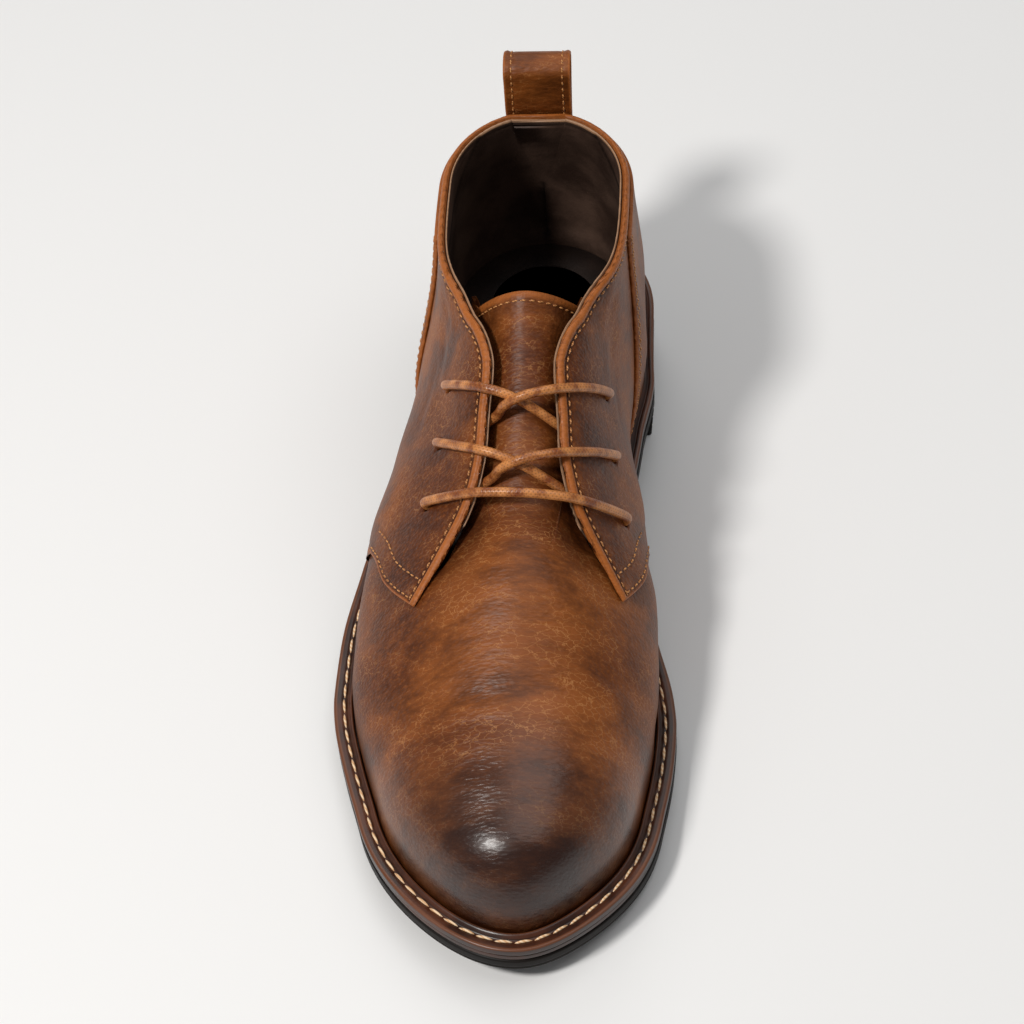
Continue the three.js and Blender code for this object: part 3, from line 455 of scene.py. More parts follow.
def strip(rings):
    # Solid from closed rings round the sole; each end is closed by strips straight across its ring.
    rings = np.asarray(rings)
    rows, columns = rings.shape[:2]
    points = rings.reshape(-1, 3)
    k = np.arange(columns // 2)
    low = np.stack([k, k + 1, (columns - k - 1) % columns, (columns - k) % columns], -1)
    high = low[:, ::-1] + (rows - 1) * columns
    return points, outward(points, np.concatenate([quads(rows, columns, False, True), low, high]))


def leatherSheet(name, outer, inner, slot, **masks):
    # Closed leather between two grids; each mask is a pair, its values outside and inside.
    values = {key: [np.broadcast_to(side, outer.shape[:2]) for side in pair] for key, pair in masks.items()}
    return makeMesh(name, *shell(outer, inner), slot, values)


def nearest(points, line):
    # Distance from each point to a dense line of points, a few rows at a time.
    flat = points.reshape(-1, 3)
    result = np.concatenate([
        np.sqrt(((chunk[:, None] - line[None]) ** 2).sum(-1)).min(1) for chunk in np.array_split(flat, 40)])
    return result.reshape(points.shape[:-1])


def alongLine(line, count):
    # The same line with its points evenly spaced.
    run = runAlong(line)
    wanted = np.linspace(0, run[-1], count)
    return np.stack([np.interp(wanted, run, line[:, k]) for k in range(3)], -1)


def circles(centre, one, two, radius, sides):
    # Points round each centre: centre + radius x (cos(turn) x one + sin(turn) x two).
    turn = np.linspace(0, 2 * np.pi, sides, endpoint=False)[:, None]
    arms = np.cos(turn) * one[..., None, :] + np.sin(turn) * two[..., None, :]
    return centre[..., None, :] + np.asarray(radius)[..., None, None] * arms


def stitchMesh(name, seams, setting, slot):
    # Each stitch is a spindle: rings of radius r x sin(pi t)^0.5 along its length. A seam is a line on a
    # surface with the surface's normals along it.
    rings, sides = 7, 6
    t = np.linspace(.02, .98, rings)
    radii = setting["radius"] * np.sin(np.pi * t) ** .5
    lengthwise = (t - .5) * setting["length"]
    lift = setting["lift"] - setting["sag"] * (2 * t - 1) ** 2
    cosine, sine = math.cos(setting["lean"]), math.sin(setting["lean"])
    size = rings * sides + 2
    allPoints, allFaces, base = [], [], 0
    for line, normals in seams:
        count = max(2, int(round(runAlong(line)[-1] / setting["pitch"])))
        even = alongLine(line, count * 8 + 1)
        share, run = np.linspace(0, 1, len(even)), np.linspace(0, 1, len(normals))
        up = np.stack([np.interp(share, run, normals[:, k]) for k in range(3)], -1)[4::8][:count]
        middle, ahead = even[4::8][:count], unit(even[7::8][:count] - even[1::8][:count])
        aside = unit(np.cross(up, ahead))
        up = np.cross(ahead, aside)
        ahead, aside = ahead * cosine + aside * sine, aside * cosine - ahead * sine
        centre = middle[:, None] + ahead[:, None] * lengthwise[:, None] + up[:, None] * lift[:, None]
        points = circles(centre, aside[:, None], up[:, None], radii, sides)
        one = capped(points[0])[1] + size * np.arange(count)[:, None, None]
        bodies = np.concatenate([points.reshape(count, -1, 3), centre[:, [0, -1]]], 1)
        allPoints.append(bodies.reshape(-1, 3))
        allFaces.append(one.reshape(-1, 4) + base)
        base += count * size
    return makeMesh(name, np.concatenate(allPoints), np.concatenate(allFaces), slot)


# Colours and finishes
def toLinear(code):
    # sRGB hex to linear light.
    value = np.array([int(code[k:k + 2], 16) for k in (1, 3, 5)]) / 255
    return (*np.where(value <= .04045, value / 12.92, ((value + .055) / 1.055) ** 2.4).tolist(), 1.0)


def connect(node, **links):
    # Each link names or numbers an input and gives it a node, a socket or a plain value.
    for key, value in links.items():
        socket = node.inputs[int(key[1:])] if key[1:].isdigit() else node.inputs[key.replace("_", " ")]
        if isinstance(value, bpy.types.Node):
            value = value.outputs[0]
        if isinstance(value, bpy.types.NodeSocket):
            node.id_data.links.new(value, socket)
        else:
            socket.default_value = value
    return node


def addNode(tree, kind, settings=None, **links):
    # One node with its settings and its links.
    node = tree.nodes.new("ShaderNode" + kind)
    for key, value in (settings or {}).items():
        setattr(node, key, value)
    return connect(node, **links)


def newMaterial(name):
    # Empty material with its surface shader, and the function that adds its nodes.
    material = bpy.data.materials.new(name)
    material.use_nodes = True
    material.node_tree.nodes.clear()
    add = partial(addNode, material.node_tree)
    shader = add("BsdfPrincipled")
    add("OutputMaterial", Surface=shader)
    return material, add, shader


def perMetre(size):
    # Pattern scale for a feature of so many millimetres.
    return 1000 / size


softly = {"interpolation_type": "SMOOTHSTEP"}
colours = {"data_type": "RGBA"}
times = {"operation": "MULTIPLY"}

pullUp = {
    "deep": "#2B1206", "middle": "#5C2B0C", "light": "#8A4B1B", "pale": "#C88F56", "edge": "#A65E28",
    "burnish": "#240E07", "roughness": .45, "cloud": 52.0, "patch": 19.0, "fibre": 2.7, "grain": 1.3,
}


def pullUpLeather(name, setting):
    # Waxed pull-up cowhide, tumbled and hand burnished: soft clouds of darker wax, pale hair-fine cracks
    # in the wax, a pebbled grain that catches the light, a darker polished toe and paler rolled edges;
    # painted shade is laid on in the toe's dark burnish colour.
    material, add, shader = newMaterial(name)
    place = add("TexCoord").outputs["Object"]
    drawn, drawnFar = (add("Mapping", i0=place, i3=scale) for scale in ((.5, 1.5, 1.1), (.5, 1.6, 1.2)))
    toe, edge, shade, polish = (add("Attribute", {"attribute_name": key}).outputs["Fac"]
                                for key in ("burnish", "edge", "shade", "polish"))
    clouds = add("TexNoise", Vector=drawn, Scale=perMetre(setting["cloud"]), Detail=3.0, Roughness=.55)
    patches = add("TexNoise", Vector=drawn, Scale=perMetre(setting["patch"]), Detail=8.0, Roughness=.68)
    speckle = add("TexNoise", Vector=drawn, Scale=perMetre(1.6), Detail=3.0, Roughness=.7)
    warp = add("TexNoise", Vector=place, Scale=perMetre(2.8), Detail=4.0).outputs["Color"]
    warped = add("VectorMath", {"operation": "MULTIPLY_ADD"}, i0=warp, i1=(.0042, .0042, .0042), i2=drawn)
    fibre, grain = perMetre(setting["fibre"]), perMetre(setting["grain"])
    cells = add("TexVoronoi", {"feature": "DISTANCE_TO_EDGE"}, Vector=warped, Scale=fibre)
    cracked = add("MapRange", softly, Value=cells, i1=.055, i2=.0)
    where = add("MapRange", softly, Value=patches, i1=.42, i2=.62)
    cracks = add("Math", times, i0=cracked, i1=where)
    worn = add("MapRange", softly, Value=patches, i1=.72, i2=.35, i3=.7)
    rubbed = add("MapRange", softly, Value=speckle, i1=.25, i2=.6, i3=.55, i4=.95)
    coats = (
        (add("MapRange", softly, Value=clouds, i1=.32, i2=.66), "light"),
        (add("MapRange", softly, Value=patches, i1=.6, i2=.3, i4=.7), "deep"),
        (add("MapRange", softly, Value=speckle, i1=.48, i2=.74, i4=.5), "light"),
        (add("Math", times, i0=cracks, i1=.42), "pale"),
        # The burnish mask holds the toe's real burnish and, low on the vamp's sides, painted shade
        (add("Math", times, i0=worn, i1=toe), "burnish"),
        # Painted shade: the shade mask darkens the leather towards the burnish colour
        (shade, "burnish"),
        (add("Math", times, i0=rubbed, i1=edge), "edge"),
    )
    colour = toLinear(setting["middle"])
    for share, tint in coats:
        colour = add("Mix", colours, i0=share, i6=colour, i7=toLinear(setting[tint])).outputs[2]
    low, high = setting["roughness"] - .06, setting["roughness"] + .06
    rough = add("MapRange", Value=patches, i1=.3, i2=.7, i3=low, i4=high)
    rough = add("Math", {"operation": "MULTIPLY_ADD"}, i0=polish, i1=-.14, i2=rough)
    gloss = add("Math", times, i0=polish, i1=.5)
    pebbles = add("TexVoronoi", {"feature": "SMOOTH_F1"}, Vector=drawn, Scale=grain, Smoothness=.5)
    wrinkles = add("TexNoise", Vector=drawnFar, Scale=perMetre(2.6), Detail=4.0, Roughness=.6, Distortion=.4)
    bump = add("Bump", Height=pebbles, Distance=.00022, Strength=.6)
    bump = add("Bump", Height=wrinkles, Distance=.0004, Strength=.6, Normal=bump)
    bump = add("Bump", {"invert": True}, Height=cracks, Distance=.00006, Strength=.5, Normal=bump)
    connect(shader, Base_Color=colour, Roughness=rough, Normal=bump, Coat_Weight=gloss, Coat_Roughness=.3,
            IOR=1.45, Specular_IOR_Level=.33)
    return material


def edgeLeather():
    # Leather welt and midsole, dyed, sanded and waxed on the edge: dark brown with a long soft sheen.
    material, add, shader = newMaterial("burnishedEdgeLeather")
    place = add("TexCoord").outputs["Object"]
    edge, shade = (add("Attribute", {"attribute_name": key}).outputs["Fac"] for key in ("edge", "shade"))
    tone = add("TexNoise", Vector=place, Scale=perMetre(16), Detail=4.0, Roughness=.6)
    warm = add("MapRange", softly, Value=tone, i1=.35, i2=.68)
    colour = toLinear("#2B140B")
    # Painted highlight from the edge mask, painted shade from the shade mask
    for share, tint in ((warm, "#532A16"), (edge, "#704126"), (shade, "#120805")):
        colour = add("Mix", colours, i0=share, i6=colour, i7=toLinear(tint)).outputs[2]
    drawn = add("Mapping", i0=place, i3=(.25, .25, 5))
    layers = add("TexNoise", Vector=drawn, Scale=perMetre(3.2), Detail=3.0)
    grit = add("TexNoise", Vector=place, Scale=perMetre(.7), Detail=2.0)
    bump = add("Bump", Height=layers, Distance=.0001, Strength=.5)
    bump = add("Bump", Height=grit, Distance=.00003, Strength=.35, Normal=bump)
    rough = add("MapRange", Value=tone, i1=.3, i2=.7, i3=.3, i4=.42)
    connect(shader, Base_Color=colour, Roughness=rough, Normal=bump)
    return material


def soleRubber():
    # Moulded rubber, nearly black brown, satin, with faint mould lines along its side.
    material, add, shader = newMaterial("mouldedSoleRubber")
    place = add("TexCoord").outputs["Object"]
    tone = add("TexNoise", Vector=place, Scale=perMetre(24), Detail=3.0)
    warm = add("MapRange", softly, Value=tone, i1=.35, i2=.65)
    colour = add("Mix", colours, i0=warm, i6=toLinear("#0C0806"), i7=toLinear("#17100C")).outputs[2]
    lines = add("TexNoise", Vector=add("Mapping", i0=place, i3=(.3, .3, 3)), Scale=perMetre(1.8), Detail=2.0)
    grit = add("TexNoise", Vector=place, Scale=perMetre(.5), Detail=2.0)
    bump = add("Bump", Height=lines, Distance=.00006, Strength=.4)
    bump = add("Bump", Height=grit, Distance=.00003, Strength=.4, Normal=bump)
    rough = add("MapRange", Value=tone, i1=.3, i2=.7, i3=.45, i4=.58)
    connect(shader, Base_Color=colour, Roughness=rough, Normal=bump, Specular_IOR_Level=.18)
    return material


def liningLeather(name, dark, light):
    # Vegetable tanned lining, drum dyed dark brown, half matt with a fine flat grain and a raw pale edge.
    material, add, shader = newMaterial(name)
    place = add("TexCoord").outputs["Object"]
    edge, shade = (add("Attribute", {"attribute_name": key}).outputs["Fac"] for key in ("edge", "shade"))
    tone = add("TexNoise", Vector=place, Scale=perMetre(22), Detail=4.0, Roughness=.6)
    warm = add("MapRange", softly, Value=tone, i1=.35, i2=.7)
    colour = toLinear(dark)
    for share, tint in ((warm, light), (shade, "#080504"), (edge, "#A07A5C")):
        colour = add("Mix", colours, i0=share, i6=colour, i7=toLinear(tint)).outputs[2]
    grain = add("TexVoronoi", {"feature": "SMOOTH_F1"}, Vector=place, Scale=perMetre(.9), Smoothness=.5)
    waves = add("TexNoise", Vector=place, Scale=perMetre(5), Detail=3.0)
    bump = add("Bump", Height=grain, Distance=.0001, Strength=.5)
    bump = add("Bump", Height=waves, Distance=.0003, Strength=.5, Normal=bump)
    rough = add("MapRange", Value=tone, i1=.3, i2=.7, i3=.42, i4=.55)
    connect(shader, Base_Color=colour, Roughness=rough, Normal=bump)
    return material


def threadFinish(name, dark, light, twist):
    # Waxed thread, twisted from three strands that show as slanting ridges, with painted light on their
    # crests and painted shade in their grooves.
    material, add, shader = newMaterial(name)
    place = add("TexCoord").outputs["Object"]
    strands = add("TexWave", {"bands_direction": "DIAGONAL"}, Vector=place, Scale=perMetre(twist) / 6,
                  Distortion=1.0).outputs[1]
    # Painted light on the strands' crests and painted shade in their grooves
    colour = add("Mix", colours, i0=strands, i6=toLinear(dark), i7=toLinear(light)).outputs[2]
    bump = add("Bump", Height=strands, Distance=.00008, Strength=.5)
    connect(shader, Base_Color=colour, Roughness=.5, Normal=bump)
    return material


def laceFinish():
    # Round lace, waxed until its fine braid nearly closes: a smooth tan cord with slanting marks of
    # painted shade in the braid's grooves and dark rubbed spots.
    material, add, shader = newMaterial("waxedRoundLace")
    place = add("TexCoord").outputs["Object"]
    along, turn = (add("Attribute", {"attribute_name": key}).outputs["Fac"] for key in ("along", "turn"))
    steep = add("Math", times, i0=along, i1=2 * math.pi / 1.3)
    slants = [add("Math", {"operation": "MULTIPLY_ADD"}, i0=turn, i1=slant, i2=steep)
              for slant in (6.0, -6.0)]
    waves = [add("Math", {"operation": "SINE"}, i0=slant) for slant in slants]
    weave = add("Math", {"operation": "MAXIMUM"}, i0=waves[0], i1=waves[1])
    tone = add("TexNoise", Vector=place, Scale=perMetre(5), Detail=5.0, Roughness=.65)
    warm = add("MapRange", softly, Value=tone, i1=.32, i2=.66)
    # Painted shade in the braid's grooves
    braidGrooveShade = add("MapRange", softly, Value=weave, i1=.1, i2=-.7, i4=.45)
    colour = toLinear("#7A3D19")
    for share, tint in ((warm, "#C98449"), (braidGrooveShade, "#3E1D0C")):
        colour = add("Mix", colours, i0=share, i6=colour, i7=toLinear(tint)).outputs[2]
    bump = add("Bump", Height=weave, Distance=.00006, Strength=.5)
    connect(shader, Base_Color=colour, Roughness=.33, Normal=bump)
    return material


def wear(obj, material):
    # The finish becomes the piece's only material.
    obj.data.materials.clear()
    obj.data.materials.append(material)
    return obj


leather = pullUpLeather("waxedPullUpLeather", pullUp)
edgeFinish = edgeLeather()
rubber = soleRubber()
liningFinish = liningLeather("darkLiningLeather", "#453229", "#705648")
insoleFinish = liningLeather("darkInsoleLeather", "#17100D", "#2A1D17")
creamThread = threadFinish("creamWaxedThread", "#D9A878", "#FBDDB8", .5)
brownThread = threadFinish("brownWaxedThread", "#8A5226", "#CE9154", .35)
laceCotton = laceFinish()
print("finishes ready")


# Sole: plates between two levels inside an inset outline
sole = {
    "around": 300, "midsoleInset": .4, "insoleInset": .6, "edge": .9, "heelTaper": 1.4, "heelLength": 76.0,
}


def lineRing(line, level, count):
    # Ring round an outline, its points crowded at the round ends, at a level that follows the place.
    turn = 2 * np.pi * np.arange(count) / count
    place = mix(line.start, line.end, (1 + np.cos(turn)) / 2)
    side = np.where(np.sin(turn) > 0, -1, 1)
    half = np.where(abs(np.sin(turn)) < 1e-9, 0, line.half(place, side))
    return np.stack([centreX + side * half, length / 2 - place, level(place)], -1)


def plate(lower, upper, profile, count):
    # Closed plate: for each (inset, share of the way up) of the profile one ring, and a cap below and above.
    rings = [lineRing(Outline(inset), lambda p: mix(lower(p), upper(p), share), count)
             for inset, share in profile]
    core = Outline(12)
    return strip([lineRing(core, lower, count), *rings, lineRing(core, upper, count)])


def ovalProfile(inset, bulge, grooves=()):
    # Edge of a plate: an arc that bulges outwards, with soft grooves of (share of the height, depth, width).
    share = np.linspace(0, 1, 15)
    corner = sole["edge"] * (1 - rolled(1 - abs(2 * share - 1), .28))
    depth = inset - bulge * (1 - (2 * share - 1) ** 2) + corner
    for at, cut, width in grooves:
        depth = depth + cut * bell(share, at, width)
    return list(zip(depth, share))


outsoleSides = ovalProfile(.15, .15, [(.3, .25, .06)])
outsolePlate = plate(bottomOf, lambda p: bottomOf(p) + last["outsoleThickness"], outsoleSides, sole["around"])
outsole = wear(makeMesh("outsoleRubber", *outsolePlate, "sole_rubber"), rubber)
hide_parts("outsole")

midsoleSides = ovalProfile(sole["midsoleInset"], .1)
midsolePlate = plate(midsoleFloor, lambda p: midsoleFloor(p) + last["midsoleThickness"], midsoleSides,
                     sole["around"])
midsole = wear(makeMesh("midsoleLeather", *midsolePlate, "edge_leather", {"shade": .25}), edgeFinish)
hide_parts("midsole")


def heelStack():
    # Heel block in four layers: the sole's outline cut off straight at the front, drawn in towards the floor.
    rings = []
    for share in np.linspace(0, 1, 33):
        grooves = .28 * sum(bell(share, at, .022) for at in (.3, .53, .77))
        inset = sole["heelTaper"] * (1 - share) + grooves + .5 * (bell(share, 0, .03) + bell(share, 1, .03))
        line = Outline(inset)
        front = sole["heelLength"] + sole["heelTaper"] * (1 - share) - inset * .3
        place = mix(line.start, front, eased(80))
        outer = np.stack([-line.half(place, -1), place], -1)
        inner = np.stack([line.half(place, 1), place], -1)[::-1]
        outer[0, 0], inner[-1, 0] = 0, 0
        across = np.linspace(outer[-1, 0], inner[0, 0], 62)[1:-1]
        ring = np.concatenate([outer, np.stack([across, np.full(60, front)], -1), inner[:-1]])
        level = np.full(len(ring), share * (last["heelLift"] - last["clearance"]))
        rings.append(np.stack([centreX + ring[:, 0], length / 2 - ring[:, 1], level], -1))
    return capped(rings)


heel = wear(makeMesh("heelRubber", *heelStack(), "sole_rubber"), rubber)
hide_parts("heel")

insoleRings = []
for inset, height in ((12, 0), (0, 0), (0, 2.25), (.5, 3), (12, 3)):
    insoleLine = Outline(lambda p: weltWidth(p) + wallOf(p) + sole["insoleInset"] + inset)
    insoleRings.append(lineRing(insoleLine, lambda p: footbed(p) + height, 240))
insole = wear(makeMesh("insoleBoard", *strip(insoleRings), "lining_leather"), insoleFinish)
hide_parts("insole")

# Welt: a strip round the boot with a raised bead against the upper, and its cream lockstitch
welt = {
    "thickness": 3.0, "bead": 1.2, "beadWidth": 2.0, "lipStart": 2.2, "edge": .8, "stitchIn": 3.5,
    "groove": .35, "grooveWidth": .75,
}
beadShape = [(0, 0), (.06, .55), (.16, .85), (.3, 1), (.5, .93), (.72, .62), (.9, .22), (1.05, 0)]


def weltStrip():
    # Cross-section: over the bead and the flat lip to the sole's edge, then down and back underneath.
    rings = []

    def ring(inset, rise):
        rings.append(lineRing(Outline(inset), lambda p: footbed(p) + rise, 420))
    ring(weltWidth, 0)
    for across, up in beadShape:
        rise = welt["thickness"] + welt["bead"] * up - .25 * (across == 0)
        ring(lambda p: weltWidth(p) - across * welt["beadWidth"], rise)
    for share in np.linspace(0, 1, 15):
        # The lip has a trough under the stitches
        here = mix(weltWidth(200.0) - welt["lipStart"], welt["edge"], share)
        dip = welt["groove"] * bell(here, welt["stitchIn"], welt["grooveWidth"])
        ring(lambda p: mix(weltWidth(p) - welt["lipStart"], welt["edge"], share), welt["thickness"] - dip)
    for angle in np.radians(np.linspace(12, 90, 6)):
        ring(welt["edge"] * (1 - math.sin(angle)), welt["thickness"] - welt["edge"] * (1 - math.cos(angle)))
    for rise in (1.5, .8, .35):
        ring(0, rise)
    ring(.35, 0)
    return np.stack(rings, 1)


weltRings = weltStrip()
# Painted highlight on the bead's top and round the lip's edge; painted shade in the bead's foot
# and down the side
weltHighlight, weltShade = np.zeros((2, *weltRings.shape[:2]))
weltHighlight[:, 22:28], weltHighlight[:, 3:5] = .75, .5
weltShade[:, 8:10], weltShade[:, 29:] = .6, .4
weltMasks = {"edge": weltHighlight, "shade": weltShade}
weltPiece = wear(makeMesh("weltStrip", *band(weltRings), "edge_leather", weltMasks), edgeFinish)
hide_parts("welt")

weltThread = {"pitch": 6.0, "length": 5.6, "radius": .48, "lift": .12, "sag": .42, "lean": .05}
stitchLine = lineRing(Outline(welt["stitchIn"]), lambda p: footbed(p) + welt["thickness"] - .1, 1400)
path = np.concatenate([stitchLine, stitchLine[:1]])
upright = np.tile([0, 0, 1.0], (len(path), 1))
wear(stitchMesh("weltStitches", [(path, upright)], weltThread, "lace_cord"), creamThread)
print("sole and welt ready")

# Upper: the quarters' edges as curves over the last, then grids between them
collarAt = through(collarTable, "along", "up")
facingAt = through(facingTable, "along", "beyond")
flapAt = through(flapTable, "along", "up")
counterAt = through({"up": counterTable["up"][::-1], "along": counterTable["along"][::-1]}, "up", "along")
quarterWall, vampWall = last["quarterWall"], last["vampWall"]


def collarLevel(place):
    # From the collar's height behind to the facings' in front.
    return mix(last["collarHeight"], last["facingHeight"], collarAt(place / length))


def settle(turn, goal, start, offset=quarterWall):
    # Height at which the point over a turn reaches the level that the goal gives for its place.
    height = np.full(np.shape(turn), float(start))
    for _ in range(12):
        point = lastOffset(height, turn, offset)
        height = height + goal(length / 2 - point[..., 1]) - point[..., 2]
    return height


def evenly(height, turn, count):
    # The same curve over the last with its points evenly spaced along it.
    run = runAlong(lastOffset(height, turn, quarterWall))
    wanted = np.linspace(0, run[-1], count)
    return np.interp(wanted, run, height), np.interp(wanted, run, turn)


def facingCurve(side, end=None):
    # From the collar down the facing's edge to the flap's corner, or to a share of the length.
    along = np.linspace(.33, .66, 700)
    across = side * mix(last["throatHalf"], last["flapHalf"], facingAt(along))
    height = climb(along * length, across)
    turn = turnOf(along * length, height, side)
    point = lastOffset(height, turn, quarterWall)
    place = length / 2 - point[:, 1]
    first = int(np.argmax(point[:, 2] <= collarLevel(place)))
    low = point[:, 2] - footbed(place) <= flapAt(place / length) * ankle
    final = int(np.argmax(low)) if low.any() else len(along) - 1
    if end is not None:
        final = int(np.argmax(along >= end))
    return height[first:final + 1], turn[first:final + 1]


def collarCurve(side, height, turn):
    # From the heel's middle along the collar, eased onto the facing's first point.
    turns = np.linspace(np.pi, turn, 260)
    heights = settle(turns, collarLevel, last["collarHeight"] - 25)
    return heights + (height - heights[-1]) * np.linspace(0, 1, 260) ** 6, turns


def rounded(first, second, span):
    # Two curves whose corner is rounded: a moving mean over the span, fading out along both.
    height, turn = evenly(*(np.concatenate([a, b[1:]]) for a, b in zip(first, second)), 1000)
    points = lastOffset(height, turn, quarterWall)
    corner = lastOffset(second[0][0], second[1][0], quarterWall)
    run = runAlong(points)
    joint = int(np.argmin(np.linalg.norm(points - corner, axis=1)))
    share = smooth(2.2 * span, .6 * span, abs(run - run[joint]))
    shifts = np.linspace(-span, span, 25)
    curves = [mix(value, np.mean([np.interp(run + shift, run, value) for shift in shifts], axis=0), share)
              for value in (height, turn)]
    return [curve[:joint + 1] for curve in curves], [curve[joint:] for curve in curves]


def flapCurve(side, height, turn):
    # From the welt up the flap's lower front edge to its corner.
    endPlace = placeOf(height, turn)
    along = np.linspace(.4945, endPlace / length, 220)
    heights = flapAt(along) * ankle
    for _ in range(8):
        point = lastOffset(heights, turnOf(along * length, heights, side), quarterWall)
        place = length / 2 - point[:, 1]
        heights = np.maximum(heights + flapAt(place / length) * ankle - (point[:, 2] - footbed(place)), .5)
    blendIn = np.linspace(0, 1, 220) ** 8
    heights = heights + (height - heights[-1]) * blendIn
    return heights, turnOf(along * length, heights, side)


def weltCurve(side, place, height):
    # Round the foot at one height, from the heel's middle forward to a place.
    final = float(turnOf(place, height, side))
    return np.full(260, height), np.linspace(np.pi, final, 260)


def sideGrid(side, columns, upper, lower, splits):
    # Columns run from the heel's middle to the front; each pair of curves is split at its own share.
    rows = []
    for curves, share in ((upper, splits[0]), (lower, splits[1])):
        first = int(round(columns * share))
        a, b = evenly(*curves[0], first), evenly(*curves[1], columns - first + 1)
        rows.append([np.concatenate([a[k], b[k][1:]]) for k in (0, 1)])
    return rows


def panel(columns, rows, curvesOf, splits):
    # Grid from the outer side's front corner round the heel to the inner side's, bottom row first.
    parts = []
    for side in (-1, 1):
        upper, lower = curvesOf(side)
        (topHeight, topTurn), (lowHeight, lowTurn) = sideGrid(side, columns, upper, lower, splits)
        v = eased(rows)
        run = mix(runOf(lowHeight)[:, None], runOf(topHeight)[:, None], v)
        parts.append((run, mix(lowTurn[:, None], topTurn[:, None], v)))
    run = np.concatenate([parts[0][0][::-1], parts[1][0][1:]])
    turn = np.concatenate([parts[0][1][::-1], parts[1][1][1:]])
    return heightOf(run), turn


def quarterCurves(side):
    # Above: collar and facing, their corner rounded. Below: the foot and the flap's edge.
    facing = facingCurve(side)
    collar = collarCurve(side, facing[0][0], facing[1][0])
    flap = flapCurve(side, facing[0][-1], facing[1][-1])
    foot = weltCurve(side, placeOf(flap[0][0], flap[1][0]), flap[0][0])
    return rounded(collar, facing, 9.0), (foot, flap)


quarter = {
    "columns": 215, "rows": 92, "bead": 2.7, "beadRise": .35, "groove": .3, "inside": .75, "overVamp": 1.82,
    "stitchIn": 3.7, "flapRows": (1.7, 8.2),
}
quarterHeight, quarterTurn = panel(quarter["columns"], quarter["rows"], quarterCurves, (.5, .62))
quarterBase = lastOffset(quarterHeight, quarterTurn, quarterWall)
quarterNormal = lastNormal(quarterHeight, quarterTurn)
topEdge = quarterBase[:, -1]
flapCount = int(quarter["columns"] * .38)
flapEdges = [quarterBase[:flapCount + 2, 0], quarterBase[-flapCount - 2:, 0]]
fromTop = nearest(quarterBase, alongLine(topEdge, 900))
fromFlap = np.minimum(*(nearest(quarterBase, alongLine(edge, 300)) for edge in flapEdges))


# Flex marks of the quarters behind the eyelets: (place, height, half length, lean, depth, width)
quarterFlex = [(112, 56, 16, -.5, .4, 2.6), (119, 47, 14, -.45, .3, 2.4), (104, 66, 12, -.6, .3, 2.4)]


def flexed(place, height, marks):
    # Sum of soft troughs along slanting lines, each with a low ridge above it.
    total = 0 * place
    for at, up, half, lean, depth, width in marks:
        along = (place - at) * math.cos(lean) + (height - up) * math.sin(lean)
        off = (height - up) * math.cos(lean) - (place - at) * math.sin(lean)
        trough = .5 * bell(off, 1.7 * width, width) - bell(off, 0, width)
        total = total + smooth(half, half * .3, abs(along)) * depth * trough
    return total


def quarterOffsets():
    # Outside: the wall, a rolled bead along collar and facings, a groove behind it, dents under the stitches.
    bead, d, f = quarter["bead"], fromTop, fromFlap
    centre = mix(1.95, 2.35, smooth(14, 4, f))
    arch = np.cos(np.pi / 2 * np.clip(d / bead * 1.3 - .65, -1, 1))
    rise = quarter["beadRise"] * np.where(d < bead, arch, 0)
    outside = quarterWall + rise - quarter["groove"] * bell(d, bead + .15, .38)
    outside = outside - .16 * bell(d, quarter["stitchIn"], .6)
    for row in quarter["flapRows"]:
        outside = outside - .14 * bell(f, row, .6) * smooth(2.5, 5, d)
    place = placeOf(quarterHeight, quarterTurn)
    outside = outside + flexed(place, quarterHeight, quarterFlex) * smooth(2, 9, d)
    edge = rolled(d, bead * .55) * rolled(f, .6)
    inside = mix(quarter["inside"], quarter["overVamp"], smooth(17, 12, f))
    return centre + (outside - centre) * edge, centre + (inside - centre) * edge


outside, inside = quarterOffsets()
quarterOuter = quarterBase + quarterNormal * (outside - quarterWall)[..., None]
quarterInner = quarterBase + quarterNormal * (inside - quarterWall)[..., None]
beadMask = smooth(quarter["bead"] + .1, quarter["bead"] - .5, fromTop)
edgeMask = np.maximum(beadMask, .9 * smooth(1.0, .3, fromFlap))
shades = [.55 * bell(fromTop, quarter["bead"] + .2, .4), .3 * smooth(16, 3, quarterHeight),
          .75 * bell(fromTop, quarter["stitchIn"], .45)]
shades += [.65 * bell(fromFlap, row, .45) * smooth(2.5, 5, fromTop) for row in quarter["flapRows"]]
quarters = leatherSheet("quarterPanels", quarterOuter, quarterInner, "upper_leather",
                        edge=(edgeMask, .6 * edgeMask), shade=(np.max(shades, axis=0), .5))


def cutHoles(obj, holes, radius):
    # Punched holes: short cylinders square to the leather are taken out of the panel.
    allPoints, allFaces, base = [], [], 0
    for outer, inner in holes:
        axis = unit(outer - inner)
        one = unit(np.cross(axis, [0, 0, 1.0]))
        points, faces = capped(circles(np.stack([inner, outer]), one, np.cross(axis, one), radius, 20))
        allPoints.append(points)
        allFaces.append(faces + base)
        base += len(points)
    punch = addObject("punch", meshOf("punch", np.concatenate(allPoints), np.concatenate(allFaces)))
    cut = obj.modifiers.new("holes", "BOOLEAN")
    cut.object, cut.operation, cut.solver = punch, "DIFFERENCE", "EXACT"
    bpy.context.view_layer.update()
    done = bpy.data.meshes.new_from_object(obj.evaluated_get(bpy.context.evaluated_depsgraph_get()))
    obj.modifiers.clear()
    obj.data = done
    bpy.data.objects.remove(punch)


holeEnds = [[overInstep(along * length, side * across * last["flapHalf"], lift) for lift in (8.0, -4.0)]
            for along, across in eyelets for side in (-1, 1)]
cutHoles(quarters, holeEnds, 2.35)
quarters.data.polygons.foreach_set("use_smooth", [True] * len(quarters.data.polygons))
wear(quarters, leather)
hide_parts("upper")
print("quarters ready", len(quarters.data.polygons))


